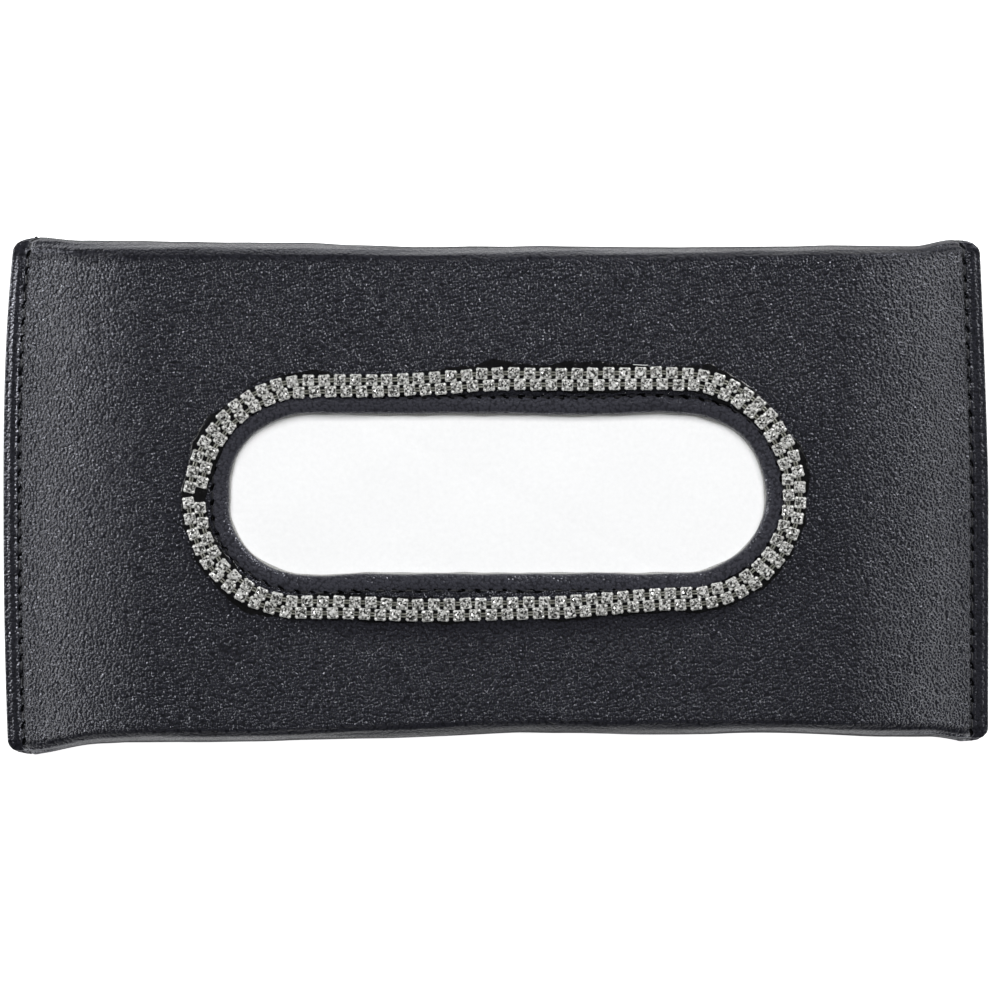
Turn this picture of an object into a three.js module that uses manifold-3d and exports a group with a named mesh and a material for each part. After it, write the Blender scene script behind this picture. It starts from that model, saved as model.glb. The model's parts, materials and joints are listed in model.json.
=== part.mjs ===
// Car tissue holder: a soft leather sleeve with an oval slot, which hangs on a sun visor by two clips.
// It lies on its back. +X runs along it, +Y across it, and +Z comes out of its front face.
// z = 0 is the surface that the clips rest on. Lengths are in millimetres, angles in radians.

import * as THREE from 'three';
import { mergeVertices } from 'three/addons/utils/BufferGeometryUtils.js';
import Module from 'manifold-3d';

const wasm = await Module();
wasm.setup();

// Sleeve, over the leather
const sleeveLength = 230;
const sleeveWidth = 115.5;
const sleeveDepth = 18;
const foldRadius = 8;
const rampLength = 24;
const endFlare = 2;
const flareLength = 16;
const endBow = 1.8;
const endCornerRadius = 4.7;
const returnWidth = 10.8;

// Layers
const leatherThickness = 1.2;
const boardThickness = 1;
const liningThickness = 0.4;
const seamStripThickness = 0.9;
const seamStripWidth = 8;
const seamStripInset = 0.7;
const glueLine = 0.05;
const seatGap = 0.3;
const layerStep = 1;

// Slot
const slotFromEnd = 52.25;
const slotFromFold = 39.35;
const slotHem = 4;
const hemLegThickness = 0.8;

// Crystal chain
const cupWidth = 2.5;
const cupDepth = 0.95;
const crystalWidth = 2.35;
const crystalTable = 1.25;
const crystalCrown = 0.75;
const chainPitch = 3.7;
const innerRowFromSlot = 6.6;
const rowSpacing = 2.8;
const chainEndGap = 2.2;
const linkWidth = 1.1;
const linkDepth = 0.45;
const glueDepth = 0.3;
const glueMargin = 1.3;

// Tissues
const tissueFromEnd = 23;
const tissueFromFold = 8.75;
const tissueFoldRadius = 3;
const tissueSheet = 0.22;
const tissueFoldGap = 0.2;
const topLeafPastMiddle = 6;

// Refill window and its flap
const windowFromEnd = 25;
const windowFromMiddle = 16.4;
const windowFromHinge = 1.6;
const windowCornerRadius = 5;
const hingeFromFold = 13.75;
const hingeGap = 0.6;
const hingeSkive = 0.3;
const hingeStripWidth = 7;
const hingeStripThickness = 1.2;
const hingeStripBevel = 3.5;
const flapSideOverlap = 7;
const flapFreeOverlap = 11.2;
const flapLeather = 1;
const flapBoardThickness = 1;
const flapHem = 1.5;
const flapBevel = 6;
const flapCornerRadius = 6;
const magnetDiameter = 6;
const magnetThickness = 0.9;
const discThickness = 0.8;
const magnetFromEnd = 27;

// Visor clips
const clipSpacing = 120;
const clipWidth = 20;
const clipSteel = 1;
const clipThroat = 8;
const clipFromFold = 4.75;
const clipBaseFromFlap = 13.2;
const clipTongueFromFlap = 1.2;
const clipTipRadius = 6;
const clipBaseRadius = 3;
const clipLipLength = 12;
const clipPinch = 1.6;
const clipBendGap = 0.3;
const backplateSideInset = 1;
const backplateEndInset = 2;
const backplateThickness = 0.8;

// Rivets
const rivetShankDiameter = 3;
const rivetHeadDiameter = 7;
const rivetHeadHeight = 1.2;
const rivetTailDiameter = 6;
const rivetTailHeight = 0.9;
const rivetInset = 9;
const rivetHoleClearance = 0.3;

// Smoothness and tool sizes
const foldSteps = 3;
const rollSteps = 3;
const bendSteps = 4;
const domeSteps = 3;
const halfTurnSteps = 16;
const cornerSteps = 4;
const bowSteps = 8;
const roundSteps = 12;
const girdleFacets = 8;
const tongueSteps = 6;
const flatTolerance = 0.002;
const cutOverrun = 3;
const rampShares = [0, 0.08, 0.19, 0.32, 0.45, 0.58, 0.71, 0.85, 1];
const acrossShares = [0.98, 0.955, 0.93, 0];
const tipShares = [0, 0.04, 0.15, 0.35, 0.62, 1];
const foldDepthShare = 0.47;

// Heights, from the resting plane up
const backPlane = 2 * clipSteel + clipThroat;
const backLeatherTop = backPlane + leatherThickness;
const backBoardBottom = backLeatherTop + glueLine;
const backBoardTop = backBoardBottom + boardThickness;
const backLiningBottom = backBoardTop + glueLine;
const backLiningTop = backLiningBottom + liningThickness;
const backplateBottom = backLiningTop + glueLine;
const backplateTop = backplateBottom + backplateThickness;
const rivetTailBottom = backplateTop + glueLine;
const rivetTailTop = rivetTailBottom + rivetTailHeight;
const frontPlane = backPlane + sleeveDepth;
const frontBoardTop = frontPlane - leatherThickness - glueLine;
const frontBoardBottom = frontBoardTop - boardThickness;
const frontLiningTop = frontBoardBottom - glueLine;
const frontLiningBottom = frontLiningTop - liningThickness;
const hemLegTop = frontBoardBottom - glueLine;
const hemLegBottom = hemLegTop - hemLegThickness;
const topTissueTop = hemLegBottom - seatGap;
const topTissueBottom = topTissueTop - 2 * tissueSheet - tissueFoldGap;
const tissueTop = topTissueBottom - glueLine;
const tissueBottom = rivetTailTop + seatGap;
const glueBottom = frontPlane + glueLine;
const glueTop = glueBottom + glueDepth;
const cupBottom = glueTop + glueLine;
const flapInnerPlane = backPlane - seatGap;
const flapLiningBottom = flapInnerPlane - liningThickness;
const flapBoardTop = flapLiningBottom - glueLine;
const flapBoardBottom = flapBoardTop - flapBoardThickness;
const flapLeatherTop = flapBoardBottom - glueLine;
const flapOuterPlane = flapLeatherTop - flapLeather;
const hingeStripTop = backPlane - glueLine;
const hingeStripBottom = hingeStripTop - hingeStripThickness;
const endDepth = 2 * leatherThickness + seamStripThickness + 2 * glueLine;

// Places along X and Y
const halfLength = sleeveLength / 2;
const halfFlatEnd = sleeveWidth / 2 + endFlare;
const slotLength = sleeveLength - 2 * slotFromEnd;
const slotWidth = sleeveWidth - 2 * slotFromFold;
const tissueLength = sleeveLength - 2 * tissueFromEnd;
const tissueWidth = sleeveWidth - 2 * tissueFromFold;
const returnEdge = sleeveWidth / 2 - returnWidth;
const frontBoardHalfLength = halfLength - rampLength - layerStep;
const frontBoardHalfWidth = sleeveWidth / 2 - foldRadius - seatGap;
const backBoardHalfLength = halfLength - endBow - seamStripWidth - layerStep;
const backBoardHalfWidth = sleeveWidth / 2 - foldRadius - seatGap;
const hingeLine = sleeveWidth / 2 - hingeFromFold;
const windowTop = hingeLine - windowFromHinge;
const windowBottom = windowFromMiddle;
const windowLength = sleeveLength - 2 * windowFromEnd;
const flapLength = windowLength + 2 * flapSideOverlap;
const flapFreeEdge = windowBottom - flapFreeOverlap;
const flapHingeEdge = hingeLine - hingeGap;
const magnetX = flapLength / 2 - magnetFromEnd;
const magnetY = windowBottom - flapFreeOverlap / 2;
const bendRadius = backPlane / 2;
const bendMidRadius = bendRadius - clipSteel / 2;
const bendY = -sleeveWidth / 2 + clipFromFold + bendRadius;
const clipBaseEnd = flapFreeEdge - clipBaseFromFlap;
const clipTip = flapFreeEdge - clipTongueFromFlap;
const lowerRivetY = bendY + rivetInset;
const upperRivetY = clipBaseEnd - rivetInset;
const innerRow = innerRowFromSlot;
const outerRow = innerRowFromSlot + rowSpacing;

// Materials
const leather = () => new THREE.MeshStandardMaterial({ color: '#2f2f35', roughness: 0.5 });
const board = () => new THREE.MeshStandardMaterial({ color: '#8d8272', roughness: 0.95 });
const lining = () => new THREE.MeshStandardMaterial({ color: '#17171a', roughness: 1 });
const gluePlastic = () => new THREE.MeshStandardMaterial({ color: '#0b0b0d', roughness: 0.15 });
const crystal = () => new THREE.MeshStandardMaterial({ color: '#dcdedb', roughness: 0.1, metalness: 0.7 });
const steel = () => new THREE.MeshStandardMaterial({ color: '#b9bcc0', roughness: 0.35, metalness: 1 });
const nickel = () => new THREE.MeshStandardMaterial({ color: '#c9c7c2', roughness: 0.2, metalness: 1 });
const tissue = () => new THREE.MeshStandardMaterial({ color: '#f4f4f3', roughness: 1 });

const holder = new THREE.Group();

function addPiece(name, geometry, material) {
  const mesh = new THREE.Mesh(geometry, material());
  mesh.name = name;
  holder.add(mesh);
}

function smooth(share) {
  const kept = Math.min(Math.max(share, 0), 1);
  return kept * kept * (3 - 2 * kept);
}

// Solids, joins and cuts
function merged(geometry) {
  const bare = geometry.clone();
  bare.deleteAttribute('normal');
  bare.deleteAttribute('uv');
  return mergeVertices(bare);
}

function solidOf(geometry) {
  const closed = merged(geometry);
  return new wasm.Manifold(new wasm.Mesh({
    numProp: 3,
    vertProperties: new Float32Array(closed.attributes.position.array),
    triVerts: new Uint32Array(closed.index.array),
  }));
}

function geometryOf(solid) {
  const mesh = solid.asOriginal().simplify(flatTolerance).getMesh();
  const geometry = new THREE.BufferGeometry();
  geometry.setAttribute('position', new THREE.BufferAttribute(mesh.vertProperties, 3));
  geometry.setIndex(new THREE.BufferAttribute(mesh.triVerts, 1));
  return geometry;
}

function cut(geometry, tools) {
  let solid = solidOf(geometry);
  for (const tool of tools) {
    solid = solid.subtract(solidOf(tool));
  }
  return geometryOf(solid);
}

function common(geometry, other) {
  return geometryOf(solidOf(geometry).intersect(solidOf(other)));
}

function joined(geometries) {
  let solids = geometries.map(solidOf);
  while (solids.length > 1) {
    const pairs = [];
    for (let i = 0; i < solids.length; i += 2) {
      pairs.push(i + 1 < solids.length ? solids[i].add(solids[i + 1]) : solids[i]);
    }
    solids = pairs;
  }
  return geometryOf(solids[0]);
}

// A skin over loops of points. It closes on itself as a ring, or has a cap at each end.
function loft(loops, ring = false) {
  const size = loops[0].length;
  const points = loops.flat();
  const faces = [];
  const spans = ring ? loops.length : loops.length - 1;
  for (let span = 0; span < spans; span += 1) {
    const here = span * size;
    const next = ((span + 1) % loops.length) * size;
    for (let i = 0; i < size; i += 1) {
      const j = (i + 1) % size;
      faces.push([here + i, here + j, next + j], [here + i, next + j, next + i]);
    }
  }
  const lastLoop = (loops.length - 1) * size;
  for (let a = 0; !ring && a < size / 2 - 1; a += 1) {
    const b = a + 1;
    const c = size - 2 - a;
    const d = size - 1 - a;
    faces.push([a, d, c], [a, c, b]);
    faces.push([lastLoop + a, lastLoop + c, lastLoop + d], [lastLoop + a, lastLoop + b, lastLoop + c]);
  }
  return facingOut(points, faces);
}

function facingOut(points, faces) {
  let volume = 0;
  for (const [a, b, c] of faces) {
    volume += points[a].dot(points[b].clone().cross(points[c]));
  }
  const turned = volume < 0 ? faces.map(([a, b, c]) => [a, c, b]) : faces;
  const geometry = new THREE.BufferGeometry().setFromPoints(points);
  geometry.setIndex(turned.flat());
  return geometry;
}

// Plates and profiles
function plate(shape, bottom, thickness) {
  const geometry = new THREE.ExtrudeGeometry(shape, { depth: thickness, bevelEnabled: false });
  return geometry.translate(0, 0, bottom);
}

function profileAlongX(shape, length) {
  const geometry = new THREE.ExtrudeGeometry(shape, { depth: length, bevelEnabled: false });
  const acrossUpAlong = new THREE.Matrix4().makeBasis(
    new THREE.Vector3(0, 1, 0),
    new THREE.Vector3(0, 0, 1),
    new THREE.Vector3(1, 0, 0),
  );
  return geometry.applyMatrix4(acrossUpAlong).translate(-length / 2, 0, 0);
}

function polygon(points) {
  return new THREE.Shape(points.map(([x, y]) => new THREE.Vector2(x, y)));
}

function arc(centreX, centreY, radius, from, to, steps) {
  const points = [];
  for (let step = 0; step <= steps; step += 1) {
    const angle = from + (to - from) * step / steps;
    points.push([centreX + radius * Math.cos(angle), centreY + radius * Math.sin(angle)]);
  }
  return points;
}

function rectangle(left, bottom, right, top, radius = 0) {
  if (radius === 0) {
    return polygon([[left, bottom], [right, bottom], [right, top], [left, top]]);
  }
  return polygon([
    ...arc(right - radius, bottom + radius, radius, -Math.PI / 2, 0, cornerSteps),
    ...arc(right - radius, top - radius, radius, 0, Math.PI / 2, cornerSteps),
    ...arc(left + radius, top - radius, radius, Math.PI / 2, Math.PI, cornerSteps),
    ...arc(left + radius, bottom + radius, radius, Math.PI, 1.5 * Math.PI, cornerSteps),
  ]);
}

function centredRectangle(halfX, halfY, radius = 0) {
  return rectangle(-halfX, -halfY, halfX, halfY, radius);
}

// A disc or a drill on an upright axis, from its bottom up
function post(x, y, bottom, diameter, height) {
  return new THREE.CylinderGeometry(diameter / 2, diameter / 2, height, roundSteps)
    .rotateX(Math.PI / 2)
    .translate(x, y, bottom + height / 2);
}

function drill(x, y, diameter, bottom, top) {
  const wide = diameter + 2 * rivetHoleClearance;
  return post(x, y, bottom - cutOverrun, wide, top - bottom + 2 * cutOverrun);
}

// The sleeve's outline
function sleeveHalfLengthAt(y, halfWidth) {
  const bow = endBow * (y / halfWidth) ** 2;
  const pastCorner = Math.max(Math.abs(y) - halfWidth + endCornerRadius, 0);
  const corner = endCornerRadius - Math.sqrt(Math.max(endCornerRadius ** 2 - pastCorner ** 2, 0));
  return halfLength - bow - corner;
}

function sleeveHalfWidthAt(fromEnd) {
  return sleeveWidth / 2 + endFlare * (1 - smooth(fromEnd / flareLength));
}

function sleeveDepthAt(fromEnd) {
  return endDepth + (sleeveDepth - endDepth) * smooth(fromEnd / rampLength);
}

// Half of the leather's path across the sleeve, from its edge on the back to the middle of the front
function halfPath(halfWidth, depth, inset) {
  const fold = Math.min(foldRadius, foldDepthShare * depth);
  const foldY = halfWidth - fold;
  const path = [[returnEdge, backPlane + inset]];
  for (const share of acrossShares.slice(0, 2).reverse()) {
    path.push([share * foldY, backPlane + inset]);
  }
  for (const [centreZ, start] of [[backPlane + fold, -Math.PI / 2], [backPlane + depth - fold, 0]]) {
    path.push(...arc(foldY, centreZ, fold - inset, start, start + Math.PI / 2, foldSteps));
  }
  for (const share of acrossShares) {
    path.push([share * foldY, backPlane + depth - inset]);
  }
  return path;
}

function wholePath(halfWidth, depth, inset) {
  const half = halfPath(halfWidth, depth, inset);
  const mirrored = half.slice(0, -1).reverse().map(([y, z]) => [-y, z]);
  return half.concat(mirrored);
}

function sleeveLoop(side, fromEnd) {
  const halfWidth = sleeveHalfWidthAt(fromEnd);
  const depth = sleeveDepthAt(fromEnd);
  const along = side * (halfLength - fromEnd) / halfLength;
  const outside = wholePath(halfWidth, depth, 0);
  const inside = wholePath(halfWidth, depth, leatherThickness).reverse();
  return outside.concat(inside).map(
    ([y, z]) => new THREE.Vector3(along * sleeveHalfLengthAt(y, halfWidth), y, z),
  );
}

// The line of a sewn end, from its lower corner to its upper one, moved in by an inset
function endLine(side, halfWidth, inset) {
  const line = [];
  for (let step = 0; step <= bowSteps; step += 1) {
    const y = side * halfWidth * (2 * step / bowSteps - 1);
    line.push([side * (sleeveHalfLengthAt(y, halfFlatEnd) - inset), y]);
  }
  return line;
}

// The slot's outline, grown by an offset
function stadiumLine(offset) {
  const halfStraight = (slotLength - slotWidth) / 2;
  const radius = slotWidth / 2 + offset;
  return [
    ...arc(halfStraight, 0, radius, -Math.PI / 2, Math.PI / 2, halfTurnSteps),
    ...arc(-halfStraight, 0, radius, Math.PI / 2, 1.5 * Math.PI, halfTurnSteps),
  ];
}

function slotTool(offset, bottom, top) {
  return plate(polygon(stadiumLine(offset)), bottom - cutOverrun, top - bottom + 2 * cutOverrun);
}

// A section swept round the slot. Its points are distances out from the slot's edge, and heights.
function sweptRoundSlot(section) {
  const lines = section.map(([out, z]) => stadiumLine(out).map(([x, y]) => new THREE.Vector3(x, y, z)));
  return loft(lines[0].map((point, i) => lines.map((line) => line[i])), true);
}

// Where a row of the chain is, at a distance along it from the middle of the sleeve's left side
function chainPlace(offset, distance) {
  const radius = slotWidth / 2 + offset;
  const straight = slotLength - slotWidth;
  const quarter = radius * Math.PI / 2;
  if (distance < quarter) {
    return arcPlace(-straight / 2, radius, Math.PI + distance / radius);
  }
  if (distance < quarter + straight) {
    return { x: distance - quarter - straight / 2, y: -radius, heading: 0 };
  }
  if (distance < 3 * quarter + straight) {
    return arcPlace(straight / 2, radius, (distance - quarter - straight) / radius - Math.PI / 2);
  }
  if (distance < 3 * quarter + 2 * straight) {
    return { x: straight / 2 - (distance - 3 * quarter - straight), y: radius, heading: Math.PI };
  }
  return arcPlace(-straight / 2, radius, Math.PI / 2 + (distance - 3 * quarter - 2 * straight) / radius);
}

function arcPlace(centreX, radius, angle) {
  return {
    x: centreX + radius * Math.cos(angle),
    y: radius * Math.sin(angle),
    heading: angle + Math.PI / 2,
  };
}

function chainLength(offset) {
  return 2 * Math.PI * (slotWidth / 2 + offset) + 2 * (slotLength - slotWidth);
}

// One stone in its cup: a square base that rises to a round girdle, then a cut crown and a flat table
function stone() {
  return loft([
    squareLoop(cupWidth / 2, 0, 0),
    girdleLoop(crystalWidth / 2, cupDepth),
    squareLoop(crystalTable / 2, cupDepth + crystalCrown, -Math.PI / 4),
  ]);
}

// The corners of a square and the middles of its sides
function squareLoop(half, z, turn) {
  const unitSquare = [[1, 0], [1, 1], [0, 1], [-1, 1], [-1, 0], [-1, -1], [0, -1], [1, -1]];
  return unitSquare.map(([x, y]) => new THREE.Vector3(
    half * (x * Math.cos(turn) - y * Math.sin(turn)),
    half * (x * Math.sin(turn) + y * Math.cos(turn)),
    z,
  ));
}

function girdleLoop(radius, z) {
  const loop = [];
  for (let facet = 0; facet < girdleFacets; facet += 1) {
    const angle = (facet - 1 / 2) * 2 * Math.PI / girdleFacets;
    loop.push(new THREE.Vector3(radius * Math.cos(angle), radius * Math.sin(angle), z));
  }
  return loop;
}

function linkBetween(here, next) {
  const length = Math.hypot(next.x - here.x, next.y - here.y);
  return new THREE.BoxGeometry(length, linkWidth, linkDepth)
    .rotateZ(Math.atan2(next.y - here.y, next.x - here.x))
    .translate((here.x + next.x) / 2, (here.y + next.y) / 2, cupBottom + linkDepth / 2);
}

function crystalChain(offset) {
  const count = Math.floor((chainLength(offset) - chainEndGap) / chainPitch);
  const spare = chainLength(offset) - count * chainPitch;
  const places = [];
  for (let i = 0; i < count; i += 1) {
    places.push(chainPlace(offset, (spare + chainPitch) / 2 + i * chainPitch));
  }
  const cups = places.map(({ x, y, heading }) => stone().rotateZ(heading).translate(x, y, cupBottom));
  const links = places.slice(1).map((next, i) => linkBetween(places[i], next));
  return joined(cups.concat(links));
}

// Sheet metal or tissue that follows a line of points in the YZ plane
function strap(line, thickness, halfWidthAt, x = 0) {
  const loops = line.map((point, i) => {
    const before = line[Math.max(i - 1, 0)];
    const after = line[Math.min(i + 1, line.length - 1)];
    const along = after.clone().sub(before).normalize();
    const lift = new THREE.Vector2(-along.y, along.x).multiplyScalar(thickness / 2);
    const half = halfWidthAt(point);
    return [
      new THREE.Vector3(x - half, point.x + lift.x, point.y + lift.y),
      new THREE.Vector3(x + half, point.x + lift.x, point.y + lift.y),
      new THREE.Vector3(x + half, point.x - lift.x, point.y - lift.y),
      new THREE.Vector3(x - half, point.x - lift.x, point.y - lift.y),
    ];
  });
  return loft(loops);
}

function arcLine(centreY, centreZ, radius, from, to, steps) {
  return arc(centreY, centreZ, radius, from, to, steps).map(([y, z]) => new THREE.Vector2(y, z));
}

function roundedHalfWidth(fullHalf, radius, fromTip) {
  const inCorner = Math.max(radius - fromTip, 0);
  return fullHalf - radius + Math.sqrt(Math.max(radius ** 2 - inCorner ** 2, 0));
}

function sleevePieces() {
  const loops = [];
  for (const share of rampShares) {
    loops.push(sleeveLoop(-1, share * rampLength));
  }
  for (const share of rampShares.slice().reverse()) {
    loops.push(sleeveLoop(1, share * rampLength));
  }
  const coverCut = slotTool(slotHem + seatGap, frontPlane - leatherThickness, frontPlane);
  addPiece('front_cover', cut(loft(loops), [coverCut]), leather);

  const boardCut = slotTool(hemRadius() + leatherThickness, frontBoardBottom, frontBoardTop);
  const boardPlate = plate(
    centredRectangle(frontBoardHalfLength, frontBoardHalfWidth), frontBoardBottom, boardThickness,
  );
  addPiece('front_board', cut(boardPlate, [boardCut]), board);

  const liningCut = slotTool(slotHem + seatGap, frontLiningBottom, frontLiningTop);
  const liningPlate = plate(
    centredRectangle(frontBoardHalfLength - layerStep, frontBoardHalfWidth - layerStep),
    frontLiningBottom,
    liningThickness,
  );
  addPiece('front_lining', cut(liningPlate, [liningCut]), lining);
}

// The slot's turned edge: leather rolled round the edge of the board, with a leg above and one below
function hemRadius() {
  return (frontPlane - hemLegBottom) / 2;
}

function slotEdgeRoll() {
  const radius = hemRadius();
  const middle = hemLegBottom + radius;
  const channelEnd = radius + leatherThickness - seatGap;
  return sweptRoundSlot([
    [slotHem, hemLegBottom],
    ...arc(radius, middle, radius, -Math.PI / 2, -1.5 * Math.PI, 2 * rollSteps),
    [slotHem, frontPlane],
    [slotHem, frontPlane - leatherThickness],
    [channelEnd, frontPlane - leatherThickness],
    [channelEnd, hemLegTop],
    [slotHem, hemLegTop],
  ]);
}

function endSeamStrip(side) {
  const halfStrip = halfFlatEnd - endCornerRadius;
  const inner = side * (halfLength - endBow - seamStripWidth);
  const outline = [
    ...endLine(side, halfStrip, seamStripInset),
    [inner, side * halfStrip],
    [inner, -side * halfStrip],
  ];
  return plate(polygon(outline), backLeatherTop + glueLine, seamStripThickness);
}

function rivetPlaces() {
  const places = [];
  for (const [sideName, side] of [['left', -1], ['right', 1]]) {
    places.push({ name: `clip_rivet_${sideName}_lower`, x: side * clipSpacing / 2, y: lowerRivetY });
    places.push({ name: `clip_rivet_${sideName}_upper`, x: side * clipSpacing / 2, y: upperRivetY });
  }
  return places;
}

function rivetDrills(bottom, top) {
  return rivetPlaces().map(({ x, y }) => drill(x, y, rivetShankDiameter, bottom, top));
}

function magnetDrills(bottom, top) {
  return [-1, 1].map((side) => drill(side * magnetX, magnetY, magnetDiameter, bottom, top));
}

function windowTool(grow, bottom, top) {
  const halfX = windowLength / 2 + grow;
  const shape = rectangle(-halfX, windowBottom - grow, halfX, windowTop + grow, windowCornerRadius + grow);
  return plate(shape, bottom - cutOverrun, top - bottom + 2 * cutOverrun);
}

function backPieces() {
  const halfPanel = returnEdge - seatGap;
  const outline = polygon([...endLine(1, halfPanel, 0), ...endLine(-1, halfPanel, 0)]);
  const panel = plate(outline, backPlane, leatherThickness);
  addPiece('back_panel', cut(panel, [
    windowTool(0, backPlane, backLeatherTop),
    ...rivetDrills(backPlane, backLeatherTop),
  ]), leather);

  const stiffener = plate(
    centredRectangle(backBoardHalfLength, backBoardHalfWidth, windowCornerRadius),
    backBoardBottom,
    boardThickness,
  );
  addPiece('back_board', cut(stiffener, [
    windowTool(seatGap, backBoardBottom, backBoardTop),
    ...rivetDrills(backBoardBottom, backBoardTop),
    ...magnetDrills(backBoardBottom, backBoardTop),
  ]), board);

  const cloth = plate(
    centredRectangle(backBoardHalfLength - layerStep, backBoardHalfWidth - layerStep, windowCornerRadius),
    backLiningBottom,
    liningThickness,
  );
  addPiece('back_lining', cut(cloth, [
    windowTool(0, backLiningBottom, backLiningTop),
    ...rivetDrills(backLiningBottom, backLiningTop),
  ]), lining);
}

function flapPieces() {
  const stripStart = hingeLine + hingeGap;
  addPiece('flap_hinge_strip', profileAlongX(polygon([
    [stripStart, hingeStripTop],
    [stripStart, hingeStripTop - hingeSkive],
    [stripStart + hingeStripBevel, hingeStripBottom],
    [stripStart + hingeStripWidth, hingeStripBottom],
    [stripStart + hingeStripWidth, hingeStripTop],
  ]), flapLength), leather);

  const body = profileAlongX(polygon([
    [flapHingeEdge, flapInnerPlane],
    [flapFreeEdge, flapInnerPlane],
    [flapFreeEdge, flapOuterPlane],
    [flapHingeEdge - flapBevel, flapOuterPlane],
    [flapHingeEdge, flapInnerPlane - hingeSkive],
  ]), flapLength);
  const halfFlap = flapLength / 2;
  const plan = plate(
    rectangle(-halfFlap, flapFreeEdge, halfFlap, hingeLine + flapCornerRadius, flapCornerRadius),
    flapOuterPlane - cutOverrun,
    flapInnerPlane - flapOuterPlane + 2 * cutOverrun,
  );
  const tray = rectangle(
    -halfFlap + flapHem,
    flapFreeEdge + flapHem,
    halfFlap - flapHem,
    flapHingeEdge - flapBevel,
    flapCornerRadius - flapHem,
  );
  const pocket = plate(tray, flapLeatherTop, flapInnerPlane - flapLeatherTop + cutOverrun);
  addPiece('flap_cover', cut(common(body, plan), [pocket]), leather);

  const filler = (bottom, thickness) => plate(rectangle(
    -halfFlap + flapHem + seatGap,
    flapFreeEdge + flapHem + seatGap,
    halfFlap - flapHem - seatGap,
    flapHingeEdge - flapBevel - seatGap,
    flapCornerRadius - flapHem - seatGap,
  ), bottom, thickness);
  addPiece('flap_board', cut(
    filler(flapBoardBottom, flapBoardThickness),
    magnetDrills(flapBoardBottom, flapBoardTop),
  ), board);
  addPiece('flap_lining', filler(flapLiningBottom, liningThickness), lining);

  for (const [sideName, side] of [['left', -1], ['right', 1]]) {
    const x = side * magnetX;
    const magnet = post(x, magnetY, flapBoardBottom, magnetDiameter, magnetThickness);
    addPiece(`flap_magnet_${sideName}`, magnet, nickel);
    const disc = post(x, magnetY, backBoardBottom, magnetDiameter, discThickness);
    addPiece(`catch_disc_${sideName}`, disc, steel);
  }
}

function clipBaseLine() {
  const z = backPlane - clipSteel / 2;
  const line = tipShares.map((share) => new THREE.Vector2(clipBaseEnd - share * clipBaseRadius, z));
  const gapAngle = clipBendGap / 2 / bendMidRadius;
  return line.concat(
    arcLine(bendY, bendRadius, bendMidRadius, Math.PI / 2, Math.PI - gapAngle, bendSteps),
  );
}

// How high the tongue's middle is: it closes in towards the base, then turns away into a lip
function tongueHeight(y) {
  const pinchY = clipTip - clipLipLength;
  const rise = y < pinchY ? smooth((y - bendY) / (pinchY - bendY)) : smooth((clipTip - y) / clipLipLength);
  return clipSteel / 2 + clipPinch * rise;
}

function clipTongueLine() {
  const gapAngle = clipBendGap / 2 / bendMidRadius;
  const line = arcLine(
    bendY, bendRadius, bendMidRadius, Math.PI + gapAngle, 1.5 * Math.PI, bendSteps,
  );
  const lipStart = clipTip - clipLipLength;
  for (let step = 1; step <= tongueSteps; step += 1) {
    const y = bendY + (lipStart - bendY) * step / tongueSteps;
    line.push(new THREE.Vector2(y, tongueHeight(y)));
  }
  const lip = [];
  for (const share of tipShares) {
    const y = clipTip - share * clipTipRadius;
    lip.push(new THREE.Vector2(y, tongueHeight(y)));
  }
  return line.concat(lip.reverse());
}

function clipPieces() {
  for (const [sideName, side] of [['left', -1], ['right', 1]]) {
    const x = side * clipSpacing / 2;
    const baseWidth = (point) => roundedHalfWidth(clipWidth / 2, clipBaseRadius, clipBaseEnd - point.x);
    const base = strap(clipBaseLine(), clipSteel, baseWidth, x);
    const holes = [lowerRivetY, upperRivetY].map(
      (y) => drill(x, y, rivetShankDiameter, backPlane - clipSteel, backPlane),
    );
    addPiece(`clip_base_${sideName}`, cut(base, holes), steel);

    const tongueWidth = (point) => roundedHalfWidth(clipWidth / 2, clipTipRadius, clipTip - point.x);
    addPiece(`clip_tongue_${sideName}`, strap(clipTongueLine(), clipSteel, tongueWidth, x), steel);

    const backplate = plate(rectangle(
      x - clipWidth / 2 + backplateSideInset,
      bendY + backplateEndInset,
      x + clipWidth / 2 - backplateSideInset,
      clipBaseEnd - backplateEndInset,
      clipBaseRadius,
    ), backplateBottom, backplateThickness);
    const plateHoles = [lowerRivetY, upperRivetY].map(
      (y) => drill(x, y, rivetShankDiameter, backplateBottom, backplateTop),
    );
    addPiece(`clip_backplate_${sideName}`, cut(backplate, plateHoles), steel);
  }
  for (const { name, x, y } of rivetPlaces()) {
    addPiece(name, rivet().translate(x, y, 0), nickel);
  }
}

// A rivet with a domed head under the clip and a flat tail inside the sleeve
function rivet() {
  const headBottom = backPlane - clipSteel - glueLine;
  const headEdge = headBottom - rivetHeadHeight;
  const profile = [new THREE.Vector2(0, headEdge)];
  for (let step = 1; step <= domeSteps; step += 1) {
    const angle = step / domeSteps * Math.PI / 2;
    profile.push(new THREE.Vector2(
      rivetHeadDiameter / 2 * Math.sin(angle),
      headBottom - rivetHeadHeight * Math.cos(angle),
    ));
  }
  profile.push(
    new THREE.Vector2(rivetShankDiameter / 2, headBottom),
    new THREE.Vector2(rivetShankDiameter / 2, rivetTailBottom),
    new THREE.Vector2(rivetTailDiameter / 2, rivetTailBottom),
    new THREE.Vector2(rivetTailDiameter / 2, rivetTailTop),
    new THREE.Vector2(0, rivetTailTop),
  );
  return new THREE.LatheGeometry(profile, roundSteps).rotateX(Math.PI / 2);
}

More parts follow.
